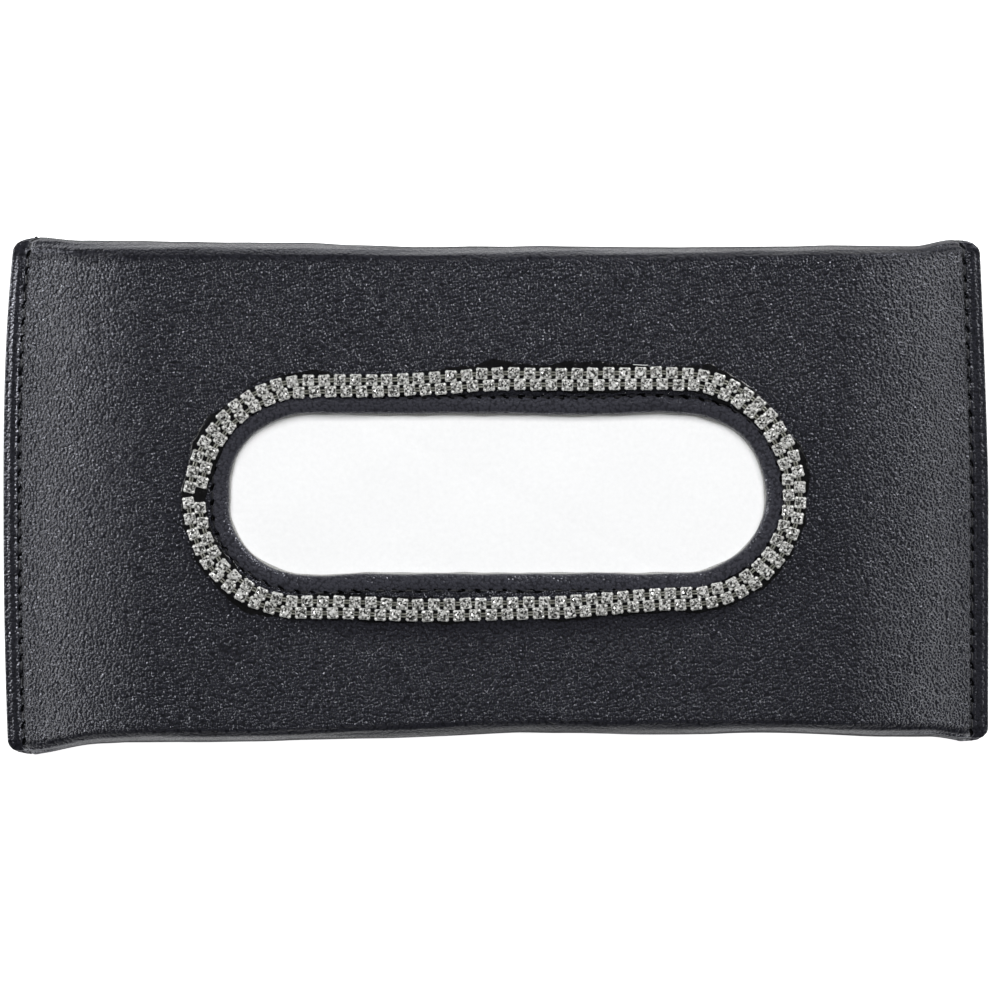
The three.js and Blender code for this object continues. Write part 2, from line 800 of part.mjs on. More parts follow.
function tissuePieces() {
  const halfWidth = tissueWidth / 2;
  const block = rectangle(-halfWidth, tissueBottom, halfWidth, tissueTop, tissueFoldRadius);
  addPiece('tissue_stack', profileAlongX(block, tissueLength), tissue);

  const lowLeaf = topTissueBottom + tissueSheet / 2;
  const highLeaf = topTissueTop - tissueSheet / 2;
  const bend = (highLeaf - lowLeaf) / 2;
  const line = [new THREE.Vector2(-halfWidth + bend, lowLeaf)].concat(
    arcLine(halfWidth - bend, lowLeaf + bend, bend, -Math.PI / 2, Math.PI / 2, bendSteps),
    [new THREE.Vector2(-topLeafPastMiddle, highLeaf)],
  );
  addPiece('top_tissue', strap(line, tissueSheet, () => tissueLength / 2), tissue);
}

function trimPieces() {
  addPiece('slot_edge_roll', slotEdgeRoll(), leather);
  const glueInner = innerRow - cupWidth / 2 - glueMargin / 2;
  const glueOuter = outerRow + cupWidth / 2 + glueMargin;
  addPiece('chain_glue_bed', sweptRoundSlot([
    [glueInner, glueBottom],
    [glueOuter, glueBottom],
    [glueOuter, glueTop],
    [glueInner, glueTop],
  ]), gluePlastic);
  addPiece('inner_crystal_chain', crystalChain(innerRow), crystal);
  addPiece('outer_crystal_chain', crystalChain(outerRow), crystal);
}

sleevePieces();
trimPieces();
addPiece('end_seam_strip_left', endSeamStrip(-1), leather);
addPiece('end_seam_strip_right', endSeamStrip(1), leather);
backPieces();
flapPieces();
clipPieces();
tissuePieces();

export default holder;
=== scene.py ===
"""Looks of the car tissue holder: a soft leather sleeve with a crystal-edged slot, on two visor clips.

Lengths are in metres, in the frame's own axes: +X along the sleeve, +Y across it, +Z out of its front.
"""
import json
import math

import bmesh
import bpy
import numpy as np
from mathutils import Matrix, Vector


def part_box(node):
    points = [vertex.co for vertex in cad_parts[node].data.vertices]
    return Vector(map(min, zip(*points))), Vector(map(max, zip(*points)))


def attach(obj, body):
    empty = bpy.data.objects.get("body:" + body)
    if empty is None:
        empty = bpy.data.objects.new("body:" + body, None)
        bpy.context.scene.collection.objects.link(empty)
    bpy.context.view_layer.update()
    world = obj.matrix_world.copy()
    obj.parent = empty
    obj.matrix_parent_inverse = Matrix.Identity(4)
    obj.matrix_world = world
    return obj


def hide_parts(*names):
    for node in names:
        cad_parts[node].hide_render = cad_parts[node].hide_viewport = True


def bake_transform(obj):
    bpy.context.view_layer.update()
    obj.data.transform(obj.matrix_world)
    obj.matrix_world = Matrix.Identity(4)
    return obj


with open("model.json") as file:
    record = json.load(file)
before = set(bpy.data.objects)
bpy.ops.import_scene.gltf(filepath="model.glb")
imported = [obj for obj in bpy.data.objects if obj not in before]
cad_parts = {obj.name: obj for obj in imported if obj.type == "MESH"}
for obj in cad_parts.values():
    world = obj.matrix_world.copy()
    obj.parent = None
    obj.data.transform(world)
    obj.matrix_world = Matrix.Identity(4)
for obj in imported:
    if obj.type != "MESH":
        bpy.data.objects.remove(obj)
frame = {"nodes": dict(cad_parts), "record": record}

MM = 0.001
TURN = 2 * math.pi
UP = np.array([0.0, 0, 1])
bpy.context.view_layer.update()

# Sleeve, from the frame
cover_low, cover_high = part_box("front_cover")
HALF_LENGTH = cover_high.x
BACK_Z = cover_low.z
FRONT_Z = cover_high.z
DEPTH = FRONT_Z - BACK_Z
PANEL_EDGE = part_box("back_panel")[1].y
SEAM_GAP = 0.3 * MM
RETURN_EDGE = PANEL_EDGE + SEAM_GAP

# Sleeve, as sewn and filled
LEATHER = 1.2 * MM
SHELL = 0.5 * MM
NOSE = 0.6 * MM
FLAT_HALF_WIDTH = 57.75 * MM
CORE = 40 * MM
FOLD_RADIUS = 8 * MM
FOLD_DEPTH_SHARE = 0.47
FOLD_REACH = 4.2 * MM
TOP_REACH_LEFT = 5.6 * MM
TOP_REACH_RIGHT = 3.4 * MM
BOTTOM_REACH = 3.5 * MM
RAMP_START = 3 * MM
RAMP = 34 * MM
RAMP_POWER = 1.8
END_DEPTH = 3.4 * MM
END_CORNER = 3.2 * MM
LEFT_REACH = 0.62 * MM
RIGHT_REACH = 0.85 * MM
CORNER_START = 9 * MM
SKEW_START = 60 * MM
TOP_MIDDLE = 58.2 * MM
BOTTOM_MIDDLE = 55.9 * MM
BOW_WIDTH = 57 * MM
BOW_END_SHARE = 1.06

# Marks of the hand: each size in these tables is a share of HAND_STRAY
HAND_STRAY = MM
# Where the long edges widen: from and to, as shares of the half length, and the size
TOP_RISE_SHARES = [
    (0, -0.8087, 1.4), (-0.8522, -0.9391, 0.8), (0.5217, 0.6957, 0.2), (0.8609, 0.9391, 1.4),
]
BOTTOM_RISE_SHARES = [
    (0.1043, -0.5478, 1.9), (-0.6522, -0.8261, 0.5), (-0.8, -0.9565, 2.4), (0.5217, 0.8696, 0.7),
    (0.8783, 0.9565, 1.1),
]
# How the ends bow in: the side across, the size and the power
LEFT_BOW_SHARES = [(1, 2.2, 2.6), (-1, 1.0, 2.2)]
RIGHT_BOW_SHARES = [(1, 2.0, 1.3), (-1, 0.1, 2)]
# Swellings round the slot: the place and the width, as shares of the way round, and the size
SLOT_STRAY_SHARES = [
    (0.04, 0.035, 0.60), (0.5, 0.014, -0.65), (0.455, 0.03, 0.35), (0.548, 0.04, 0.35), (0.93, 0.02, -0.25),
    (0.28, 0.13, 0.62), (0.125, 0.030, 0.80), (0.39, 0.035, 0.45), (0.055, 0.02, 0.2), (0.479, 0.012, -0.25),
    (0.612, 0.020, 0.55), (0.980, 0.018, 0.60), (0.0, 0.014, 0.25), (0.955, 0.014, 0.2), (0.77, 0.010, 0.2),
]
GLUE_OUTSIDE_SHARES = [
    (0.253, 0.018, 1.4), (0.183, 0.022, 1.4), (0.100, 0.020, 1.8), (0.382, 0.022, 1.0), (0.455, 0.020, 1.2),
    (0.020, 0.020, 1.3), (0.580, 0.020, 1.4), (0.720, 0.024, 0.8), (0.795, 0.012, 0.9), (0.950, 0.02, 0.8),
]
GLUE_INSIDE_SHARES = [
    (0.10, 0.05, 1.1), (0.19, 0.03, 0.9), (0.47, 0.03, 1.2), (0.55, 0.03, 1.0), (0.66, 0.06, 0.8),
    (0.90, 0.04, 0.6),
]
# Strings of glue: from and to, as shares of the way round, and how far they bulge out
GLUE_STRING_SHARES = [(0.383, 0.425, 1.1), (0.001, 0.034, 1.3), (0.235, 0.262, 0.6), (0.655, 0.675, 0.5)]
# How the chain strays on its way round: the waves in a turn, the size and the phase
CHAIN_WAVE_SHARES = [
    (0, -0.28, 0), (1, 0.26, 2.06), (2, 1.01, 2.11), (3, 0.17, 2.23), (4, 0.23, 0.44), (5, 0.12, -1.48),
    (7, 0.24, -1.54),
]

# Slot and its rolled edge
roll_low, roll_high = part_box("slot_edge_roll")
SLOT_HEM = 4 * MM
SLOT_DIP = 0.25 * MM
SLOT_HALF_WIDTH = roll_high.y - SLOT_HEM
SLOT_STRAIGHT = roll_high.x - SLOT_HEM - SLOT_HALF_WIDTH
ROLL_HEIGHT = roll_high.z - roll_low.z

# Flap, hinge and clips
flap_low, flap_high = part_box("flap_cover")
hinge_low, hinge_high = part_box("flap_hinge_strip")
base_low, base_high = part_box("clip_base_right")
tongue_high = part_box("clip_tongue_right")[1]
FLAP_BEVEL = 6 * MM
FLAP_CORNER = 6 * MM
FLAP_SKIVE = 0.3 * MM
WINDOW_LOW = 16.4 * MM
WINDOW_HIGH = 42.4 * MM
WINDOW_CORNER = 5 * MM
WINDOW_CENTRE = np.array([0, (WINDOW_LOW + WINDOW_HIGH) / 2])
WINDOW_HALF = np.array([90 * MM, (WINDOW_HIGH - WINDOW_LOW) / 2])
STEEL = 1 * MM
BEND_RADIUS = 5 * MM
CLIP_TIP = 6 * MM
CLIP_BASE_CORNER = 3 * MM
CLIP_LIP = 12 * MM
CLIP_PINCH = 1.6 * MM

# Seams
END_SEAM = 3.85 * MM
END_PITCH = 3.95 * MM
SLOT_PITCH = 3.5 * MM
BACK_PITCH = 4 * MM
SIDE_SEAM = 2.2 * MM
WINDOW_SEAM = 3 * MM
FLAP_SEAM = 3 * MM
FLAP_HINGE_SEAM = 5 * MM
THREAD = 0.26 * MM
NO_SEAM = 9 * MM
# Each line of stitches in the leather: its pitch, and the depths of its groove and its needle holes
END_STITCH = (END_PITCH, 0.16 * MM, 0.55 * MM)
RETURN_STITCH = (BACK_PITCH, 0.15 * MM, 0.5 * MM)
BACK_STITCH = (BACK_PITCH, 0.15 * MM, 0.4 * MM)

# Soft random reliefs: the height, the length and the seed of each
COVER_SWELL = (0.12 * MM, 60 * MM, 3)
COVER_RIPPLE = (0.04 * MM, 17 * MM, 4)
FOLD_WRINKLE = (0.06 * MM, 3.2 * MM, 5)
ROLL_LUMPS = (0.10 * MM, 22 * MM, 21)
ROLL_STRAY = (0.12 * MM, 16 * MM, 22)
BACKING_STRAY = (0.10 * MM, 9 * MM, 25)
GLUE_LUMPS = (0.10 * MM, 2.6 * MM, 33)
GLUE_SWELL = (0.06 * MM, 6 * MM, 34)
TISSUE_SWELL = (0.12 * MM, 30 * MM, 41)
PILE_STRAY = (0.25 * MM, 60 * MM, 42)
PILE_SWELL = (0.05 * MM, 25 * MM, 43)
BACK_SWELL = (0.05 * MM, 40 * MM, 61)
FLAP_SWELL = (0.05 * MM, 35 * MM, 71)
CLOTH_SWELL = (0.05 * MM, 12 * MM, 73)
HINGE_SWELL = (0.04 * MM, 20 * MM, 75)

# Crystal chain
CUP = 2.7 * MM
PITCH = 3.7 * MM
CHAIN_MIDDLE = 8 * MM
ROW_SPACING = 2.66 * MM
CHAIN_GAP = 2.2 * MM
CHAIN_EDGE = ROW_SPACING / 2 + CUP / 2
CUP_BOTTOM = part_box("inner_crystal_chain")[0].z

bpy.context.scene.view_settings.view_transform = "Standard"
bpy.context.scene.view_settings.look = "None"


# Numbers and noise
def smooth(share):
    kept = np.clip(share, 0, 1)
    return kept * kept * (3 - 2 * kept)


def bell(distance, width):
    return np.exp(-((distance / width) ** 2))


def waves(x, y, relief, count=6):
    """A soft random relief of crossing sine waves."""
    height, length, seed = relief
    draw = np.random.default_rng(seed)
    total = np.zeros(np.broadcast(x, y).shape)
    for _ in range(count):
        angle, phase = draw.uniform(0, TURN, 2)
        scale = TURN * draw.uniform(0.7, 1.4) / length
        total = total + np.sin(scale * (x * math.cos(angle) + y * math.sin(angle)) + phase)
    return height * total / math.sqrt(count)


# Lines of points
def closed(line):
    return np.concatenate([line, line[:1]])


def lengths(line):
    """How far along a line each of its points is."""
    return np.concatenate([[0], np.cumsum(np.linalg.norm(np.diff(line, axis=0), axis=1))])


def places_at(at, steps, line):
    """The places on a line, at given ones of its steps."""
    return np.stack([np.interp(at, steps, line[:, k]) for k in range(line.shape[1])], -1)


def spread(corners, count):
    """Evenly spread places round a closed line."""
    line = closed(np.array(corners))
    steps = lengths(line)
    return places_at(np.arange(count) / count * steps[-1], steps, line)


def at_height(places, z):
    """Places of a ground plan at one height, or at a height each."""
    return np.concatenate([places, np.broadcast_to(z, len(places))[:, None]], 1)


def extruded(xs, line):
    """An (across, up) line, repeated at each of some places along the sleeve."""
    points = np.empty((len(xs), len(line), 3))
    points[..., 0] = np.reshape(xs, (len(xs), -1))
    points[..., 1:] = line
    return points


def ladder(places, counts):
    """Grid lines from place to place, evenly spread in each stretch, without the first place."""
    stretches = zip(places[:-1], places[1:], counts)
    return np.concatenate([np.linspace(start, end, count)[1:] for start, end, count in stretches])


# Meshes
def grid_faces(rows, columns, close_rows=False, close_columns=False):
    r = np.arange(rows if close_rows else rows - 1)[:, None]
    c = np.arange(columns if close_columns else columns - 1)[None, :]
    below = (r + 1) % rows * columns
    beside = (c + 1) % columns
    corners = [r * columns + c, r * columns + beside, below + beside, below + c]
    return np.stack(corners, -1).reshape(-1, 4)


def opened_grid(rows, columns, hole):
    """A grid's faces with a block of cells left out, and the rim of the block as point numbers, in order."""
    first_row, last_row, first_column, last_column = hole
    faces = grid_faces(rows, columns).reshape(rows - 1, columns - 1, 4)
    keep = np.ones(faces.shape[:2], bool)
    keep[first_row:last_row, first_column:last_column] = False
    rim = [(last_row, c) for c in range(first_column, last_column)]
    rim += [(r, last_column) for r in range(last_row, first_row, -1)]
    rim += [(first_row, c) for c in range(last_column, first_column, -1)]
    rim += [(r, first_column) for r in range(first_row, last_row)]
    return faces[keep], np.array([r * columns + c for r, c in rim])


def ring_faces(ids):
    """Faces between closed loops of point numbers."""
    bands = []
    for here, beyond in zip(ids[:-1], ids[1:]):
        bands.append(np.stack([here, np.roll(here, -1), np.roll(beyond, -1), beyond], -1))
    return np.concatenate(bands)


def on_rounded_hole(places, centre, half, radius):
    """The nearest places on a rounded rectangle to places outside it, and the ways out of it."""
    inner = np.maximum(np.array(half) - radius, 0)
    core = centre + np.clip(places - centre, -inner, inner)
    out = places - core
    out = out / np.linalg.norm(out, axis=1, keepdims=True)
    return core + radius * out, out


def piece(name, points, faces, material, slot, body="sleeve", flat=False, replaces=(), merge=True):
    """A new mesh that rides on a body and takes the material it is given; its slot is not used."""
    mesh = bpy.data.meshes.new(name)
    mesh.from_pydata(np.asarray(points).reshape(-1, 3).tolist(), [], [list(map(int, f)) for f in faces])
    tool = bmesh.new()
    tool.from_mesh(mesh)
    if merge:
        bmesh.ops.remove_doubles(tool, verts=tool.verts, dist=1e-7)
    bmesh.ops.recalc_face_normals(tool, faces=tool.faces)
    tool.to_mesh(mesh)
    tool.free()
    mesh.polygons.foreach_set("use_smooth", [not flat] * len(mesh.polygons))
    mesh.materials.append(material)
    thing = bpy.data.objects.new(name, mesh)
    bpy.context.scene.collection.objects.link(thing)
    if body:
        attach(thing, body)
    if replaces:
        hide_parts(*replaces)
    return thing


def mark(thing, name, values, domain="POINT"):
    attribute = thing.data.attributes.new(name, "FLOAT", domain)
    attribute.data.foreach_set("value", np.asarray(values, np.float32).ravel())


def dress(thing, fold, seams):
    """Tells the leather's paint how smooth it is and where its needle holes are."""
    mark(thing, "fold", np.broadcast_to(fold, len(thing.data.vertices)))
    for key, values in seams.items():
        mark(thing, key, values)


def thicken(thing, thickness, side=-1):
    solid = thing.modifiers.new("thickness", "SOLIDIFY")
    solid.thickness = thickness
    solid.offset = side


def joined(parts):
    """Several (points, faces) as one."""
    points, faces, start = [], [], 0
    for part_points, part_faces in parts:
        flat_points = np.asarray(part_points).reshape(-1, 3)
        points.append(flat_points)
        faces.extend([[int(i) + start for i in face] for face in part_faces])
        start += len(flat_points)
    return np.concatenate(points), faces


def loft(loops, ring=False, caps=True):
    """A skin over loops of points, each as long as the others."""
    loops = np.asarray(loops)
    rows, columns = loops.shape[:2]
    faces = grid_faces(rows, columns, close_rows=ring, close_columns=True).tolist()
    if caps and not ring:
        faces += [list(range(columns))[::-1], list(range((rows - 1) * columns, rows * columns))]
    return loops, faces


def tubes(paths, ups, wide, thick=None, sides=6):
    """Cords with round or oval sections, each along its own row of points, as one (points, faces)."""
    paths, ups = np.asarray(paths, float), np.asarray(ups, float)
    along = np.gradient(paths, axis=1)
    along /= np.linalg.norm(along, axis=2, keepdims=True)
    side = np.cross(along, ups)
    side /= np.linalg.norm(side, axis=2, keepdims=True)
    up = np.cross(side, along)
    stations = paths.shape[1]
    wide = np.broadcast_to(wide, stations)[None, :, None, None]
    thick = wide if thick is None else np.broadcast_to(thick, stations)[None, :, None, None]
    angles = (np.arange(sides) + 0.5) * TURN / sides
    points = paths[:, :, None] + wide * np.cos(angles)[:, None] * side[:, :, None]
    points = points + thick * np.sin(angles)[:, None] * up[:, :, None]
    one = loft(points[0])[1]
    return points, [[i + k * stations * sides for i in face] for k in range(len(paths)) for face in one]


# Materials
class Paint:
    """A node material in the making."""

    def __init__(self, name, **values):
        self.material = bpy.data.materials.new(name)
        self.material.use_nodes = True
        self.tree = self.material.node_tree
        self.shader = self.tree.nodes["Principled BSDF"]
        for key, value in values.items():
            self.shader.inputs[key.replace("_", " ")].default_value = value
        self.place = self.tree.nodes.new("ShaderNodeTexCoord").outputs["Object"]

    def node(self, kind, links=(), **values):
        made = self.tree.nodes.new("ShaderNode" + kind)
        for key, value in values.items():
            setattr(made, key, value)
        for socket, source in dict(links).items():
            if isinstance(source, bpy.types.NodeSocket):
                self.tree.links.new(source, made.inputs[socket])
            else:
                made.inputs[socket].default_value = source
        return made

    def noise(self, scale, detail=2.0, roughness=0.5, place=None):
        links = {"Vector": place or self.place, "Scale": scale, "Detail": detail, "Roughness": roughness}
        return self.node("TexNoise", links).outputs["Fac"]

    def stretched(self, scale):
        return self.node("Mapping", {"Vector": self.place, "Scale": scale}).outputs["Vector"]

    def attribute(self, name):
        return self.node("Attribute", attribute_name=name).outputs["Fac"]

    def math(self, operation, a, b):
        return self.node("Math", {0: a, 1: b}, operation=operation).outputs[0]

    def vector(self, operation, a, b):
        return self.node("VectorMath", {0: a, 1: b}, operation=operation).outputs[0]

    def scaled(self, a, factor):
        return self.node("VectorMath", {0: a, "Scale": factor}, operation="SCALE").outputs[0]

    def ramp(self, factor, stops, ease=False):
        made = self.node("ValToRGB", {"Fac": factor})
        made.color_ramp.interpolation = "EASE" if ease else "LINEAR"
        elements = made.color_ramp.elements
        while len(elements) < len(stops):
            elements.new(0.5)
        for element, (position, value) in zip(elements, stops):
            element.position = position
            element.color = (*value, 1) if isinstance(value, tuple) else (value, value, value, 1)
        return made.outputs["Color"]

    def mix(self, factor, a, b):
        made = self.node("Mix", {0: factor}, data_type="RGBA")
        for socket, source in ((6, a), (7, b)):
            if isinstance(source, bpy.types.NodeSocket):
                self.tree.links.new(source, made.inputs[socket])
            else:
                made.inputs[socket].default_value = (*source, 1)
        return made.outputs[2]

    def feed(self, key, source):
        self.tree.links.new(source, self.shader.inputs[key])

    def bump(self, *layers, base=None):
        """Bump layers of (height, depth in metres), the broadest first, over a base normal."""
        normal = base
        for height, depth in layers:
            links = {"Height": height, "Strength": 1.0, "Distance": depth}
            if normal:
                links["Normal"] = normal
            normal = self.node("Bump", links).outputs["Normal"]
        self.feed("Normal", normal)


def needle_holes(paint):
    """Slanted holes along a seam, from the mesh's place across it and its turns along it."""
    across = paint.attribute("across")
    angle = paint.math("ARCTAN2", paint.attribute("turn_y"), paint.attribute("turn_x"))
    turns = paint.math("DIVIDE", angle, TURN)
    aside = paint.math("SUBTRACT", across, paint.math("MULTIPLY", turns, 1.2))
    wide, long = paint.math("DIVIDE", aside, 0.44), paint.math("DIVIDE", turns, 0.27)
    away = paint.math("ADD", paint.math("MULTIPLY", wide, wide), paint.math("MULTIPLY", long, long))
    return paint.ramp(away, [(0.45, 1.0), (1.0, 0.0)], ease=True)


PEBBLES = 1450.0
PEBBLE_LEAN = 0.6
CREASES = 3300.0
CREASE_LEAN = 0.98
DENTS = 2300.0
HOLE_DEPTH = -0.4 * MM
DENT_DEPTH = 0.07 * MM
STREAK_DEPTH = 0.12 * MM
DOME_DEPTH = 0.11 * MM


def leather_material(name, grain=1.0, tint=(0.0153, 0.0155, 0.0203)):
    """Charcoal imitation leather: fine round pebbles between creases, with painted shade in the creases and
    the needle holes, and a soft bluish sheen.
    """
    paint = Paint(name)
    paint.shader.inputs["Specular Tint"].default_value = (0.87, 0.89, 1.0, 1.0)
    fold, hole = paint.attribute("fold"), needle_holes(paint)
    calm = paint.math("SUBTRACT", 1.0, paint.math("MULTIPLY", fold, 0.75))
    cell = paint.node("TexVoronoi", {"Vector": paint.place, "Scale": PEBBLES})
    dome = paint.ramp(cell.outputs["Distance"], [(0.0, 1.0), (0.35, 0.8), (0.75, 0.0)], ease=True)
    dents = paint.noise(DENTS, 0.0)

    # Each pebble's slopes, and the creases' strays, lean the surface
    crease = paint.node("TexNoise", {"Vector": paint.place, "Scale": CREASES, "Detail": 0.0})
    stray = paint.vector("SUBTRACT", crease.outputs["Color"], (0.5, 0.5, 0.5))
    stray = paint.scaled(stray, paint.math("MULTIPLY", calm, CREASE_LEAN * grain))
    slope = paint.vector("SUBTRACT", paint.place, cell.outputs["Position"])
    slope = paint.scaled(slope, paint.math("MULTIPLY", calm, PEBBLE_LEAN * PEBBLES * grain))
    surface = paint.vector("ADD", paint.node("NewGeometry").outputs["Normal"], stray)
    streaks = paint.noise(1.0, 4.0, 0.6, paint.stretched((60.0, 700.0, 700.0)))
    paint.bump(
        (hole, HOLE_DEPTH), (paint.math("MULTIPLY", dents, calm), DENT_DEPTH * grain),
        (paint.math("MULTIPLY", streaks, fold), STREAK_DEPTH),
        (paint.math("MULTIPLY", dome, calm), DOME_DEPTH * grain), base=paint.vector("ADD", surface, slope),
    )

    # Painted shade: the pebbles' edges and the creases between them take a colour half as dark (between),
    # standing in for the shade in the grain
    low, high, between = (tuple(k * c for c in tint) for k in (0.90, 1.10, 0.5))
    shade = paint.ramp(paint.noise(28.0, 3.0, 0.55), [(0.3, low), (0.7, high)])
    skin = paint.mix(paint.ramp(dome, [(0.0, 0.0), (0.5, 1.0)]), between, shade)
    # Painted shade: the needle holes are painted near-black
    paint.feed("Base Color", paint.mix(hole, skin, (0.0015, 0.0015, 0.0015)))
    paint.feed("Roughness", paint.ramp(dents, [(0.35, 0.16), (0.65, 0.27)]))
    gloss = paint.math("SUBTRACT", 1.0, paint.math("MULTIPLY", paint.attribute("dull"), 0.75))
    gloss = paint.math("MULTIPLY", paint.ramp(hole, [(0.0, 0.5), (1.0, 0.03)]), gloss)
    paint.feed("Specular IOR Level", gloss)
    return paint.material


def thread_material():
    paint = Paint("sewing_thread", Roughness=0.6, Sheen_Weight=0.1)
    twist = paint.node("TexWave", {"Vector": paint.place, "Scale": 900.0, "Distortion": 2.0}).outputs["Fac"]
    paint.feed("Base Color", paint.ramp(twist, [(0.2, (0.005, 0.005, 0.006)), (0.8, (0.014, 0.014, 0.017))]))
    paint.bump((twist, 0.08 * MM))
    return paint.material


def lumpy_material(name, noise, colours, depth=None, roughness=None, **values):
    """A material whose colour, relief and roughness follow one noise."""
    paint = Paint(name, **values)
    lumps = paint.noise(*noise)
    paint.feed("Base Color", paint.ramp(lumps, colours))
    if roughness:
        paint.feed("Roughness", paint.ramp(lumps, roughness))
    if depth:
        paint.bump((lumps, depth))
    return paint.material


def stone_material():
    paint = Paint("foiled_crystal_painted_glints", Metallic=0.2, Roughness=0.06, Coat_Weight=1.0, Coat_Roughness=0.02)
    # Painted glints: each facet takes a random brightness from near-black to white, standing in for the light
    # that the foil and the cut throw back
    stops = [
        (0.0, (0.012, 0.012, 0.011)), (0.3, (0.07, 0.07, 0.065)), (0.6, (0.58, 0.58, 0.56)),
        (0.9, (1.0, 1.0, 0.98)),
    ]
    cloud = paint.ramp(paint.noise(1800.0), [(0.35, 0.8), (0.65, 1.0)])
    paint.feed("Base Color", paint.vector("MULTIPLY", paint.ramp(paint.attribute("facet"), stops), cloud))
    return paint.material


def steel_material(name, colour, roughness):
    paint = Paint(name, Metallic=1.0)
    brushed = paint.noise(1.0, 4.0, 0.6, paint.stretched((2600.0, 120.0, 2600.0)))
    low, high = (tuple(k * c for c in colour) for k in (0.85, 1.1))
    paint.feed("Base Color", paint.ramp(brushed, [(0.3, low), (0.7, high)]))
    paint.feed("Roughness", paint.ramp(brushed, [(0.3, roughness * 0.8), (0.7, roughness * 1.3)]))
    paint.bump((brushed, 0.02 * MM))
    return paint.material


def cloth_material(name, low, high):
    paint = Paint(name, Roughness=0.9, Sheen_Weight=0.3)
    threads = [
        paint.node("TexWave", {"Vector": paint.place, "Scale": 520.0}, bands_direction=way).outputs["Fac"]
        for way in ("X", "Y")
    ]
    weave = paint.math("MAXIMUM", *threads)
    paint.feed("Base Color", paint.ramp(weave, [(0.2, low), (0.9, high)]))
    paint.bump((weave, 0.08 * MM))
    return paint.material


def tissue_material():
    paint = Paint("soft_tissue", Roughness=0.95, Sheen_Weight=0.2, Specular_IOR_Level=0.2)
    fibres, quilt = paint.noise(900.0, 5.0, 0.7), paint.noise(160.0)
    paint.feed("Base Color", paint.ramp(fibres, [(0.3, (0.88, 0.885, 0.89)), (0.7, (0.93, 0.935, 0.94))]))
    paint.bump((quilt, 0.15 * MM), (fibres, 0.04 * MM))
    return paint.material


LEATHER_PAINT = leather_material("charcoal_leather")
# The slot's rolled edge: the same leather painted more than twice as light, a painted sheen for the light its
# smooth roll catches
ROLL_SHEEN_PAINT = leather_material("edge_leather_painted_sheen", grain=0.6, tint=(0.035, 0.0353, 0.0445))
BACK_PAINT = leather_material("back_leather", grain=0.8, tint=(0.0145, 0.0147, 0.0186))
THREAD_PAINT = thread_material()
GLUE_PAINT = lumpy_material(
    "set_glue", (900.0, 3.0, 0.6), [(0.3, (0.002, 0.002, 0.002)), (0.8, (0.008, 0.008, 0.009))],
    depth=0.25 * MM, Roughness=0.18, Specular_IOR_Level=0.35,
)
# Painted highlights: pale crumbs that stand in for the white glints on the black glue
GLINT_CRUMB_PAINT = lumpy_material(
    "pale_glint_crumb", (2500.0, 2.0), [(0.3, (0.35, 0.35, 0.34)), (0.7, (0.80, 0.80, 0.78))], Roughness=0.3,
)
CUP_PAINT = lumpy_material(
    "cup_silver", (1500.0, 3.0, 0.6), [(0.35, (0.42, 0.42, 0.40)), (0.6, (0.96, 0.96, 0.94))],
    depth=0.06 * MM, roughness=[(0.3, 0.34), (0.7, 0.18)], Metallic=0.25,
)
# Painted shade: the links are painted darker than the cups' silver, for the shade they lie in between the cups
LINK_PAINT = lumpy_material(
    "link_silver_painted_shade", (700.0, 3.0, 0.6), [(0.3, (0.20, 0.20, 0.17)), (0.7, (0.44, 0.44, 0.39))],
    depth=0.03 * MM, Metallic=0.6, Roughness=0.35,
)
BOARD_PAINT = lumpy_material(
    "grey_board", (1400.0, 4.0, 0.7), [(0.3, (0.20, 0.17, 0.12)), (0.7, (0.34, 0.29, 0.22))],
    depth=0.06 * MM, Roughness=0.95,
)
STONE_PAINT = stone_material()
STEEL_PAINT = steel_material("spring_steel", (0.50, 0.51, 0.53), 0.32)
NICKEL_PAINT = steel_material("nickel_plate", (0.62, 0.60, 0.57), 0.18)
LINING_PAINT = cloth_material("woven_lining", (0.010, 0.010, 0.011), (0.030, 0.030, 0.033))
# Pale cloth backing, paler too as a painted reflection of the white tissue's light on the slot's inner wall
BACKING_AND_RIM_LIGHT_PAINT = cloth_material("leather_backing_and_rim_light", (0.30, 0.30, 0.29), (0.44, 0.44, 0.43))
TISSUE_PAINT = tissue_material()


# Studio
def linked(name, data):
    thing = bpy.data.objects.new(name, data)
    bpy.context.scene.collection.objects.link(thing)
    return thing


def softbox(name, place, size, power, glossy=True, diffuse=True, aim=None):
    data = bpy.data.lights.new(name, "AREA")
    data.shape = "RECTANGLE"
    data.size, data.size_y = size
    data.energy = power
    light = linked(name, data)
    light.location = place
    light.visible_glossy = glossy
    light.visible_diffuse = diffuse
    light.visible_camera = False
    light.rotation_mode = "QUATERNION"
    light.rotation_quaternion = Vector(aim or [-part for part in place]).to_track_quat("-Z", "Y")


def camera():
    """A long lens straight down on the front."""
    view_distance, view_width, view_shift = 4.0, 990 / 4265, -0.1 * MM
    data = bpy.data.cameras.new("camera")
    data.sensor_width = 36
    data.lens = data.sensor_width * view_distance / view_width
    data.clip_end = 20
    made = linked("camera", data)
    made.location = (view_shift, 0, (BACK_Z + FRONT_Z) / 2 + view_distance)
    bpy.context.scene.camera = made


def pale_floor():
    half = 4.0
    mesh = bpy.data.meshes.new("floor")
    corners = [(x * half, y * half, 0) for x, y in ((-1, -1), (1, -1), (1, 1), (-1, 1))]
    mesh.from_pydata(corners, [], [(0, 1, 2, 3)])
    paint = Paint("pale_floor", Roughness=0.9, Specular_IOR_Level=0.2, Emission_Strength=1.0)
    paint.shader.inputs["Emission Color"].default_value = (1, 1, 1, 1)
    paint.feed("Base Color", paint.ramp(paint.noise(3.0), [(0.3, 0.90), (0.7, 0.93)]))
    mesh.materials.append(paint.material)
    floor = linked("floor", mesh)
    floor.visible_glossy = False


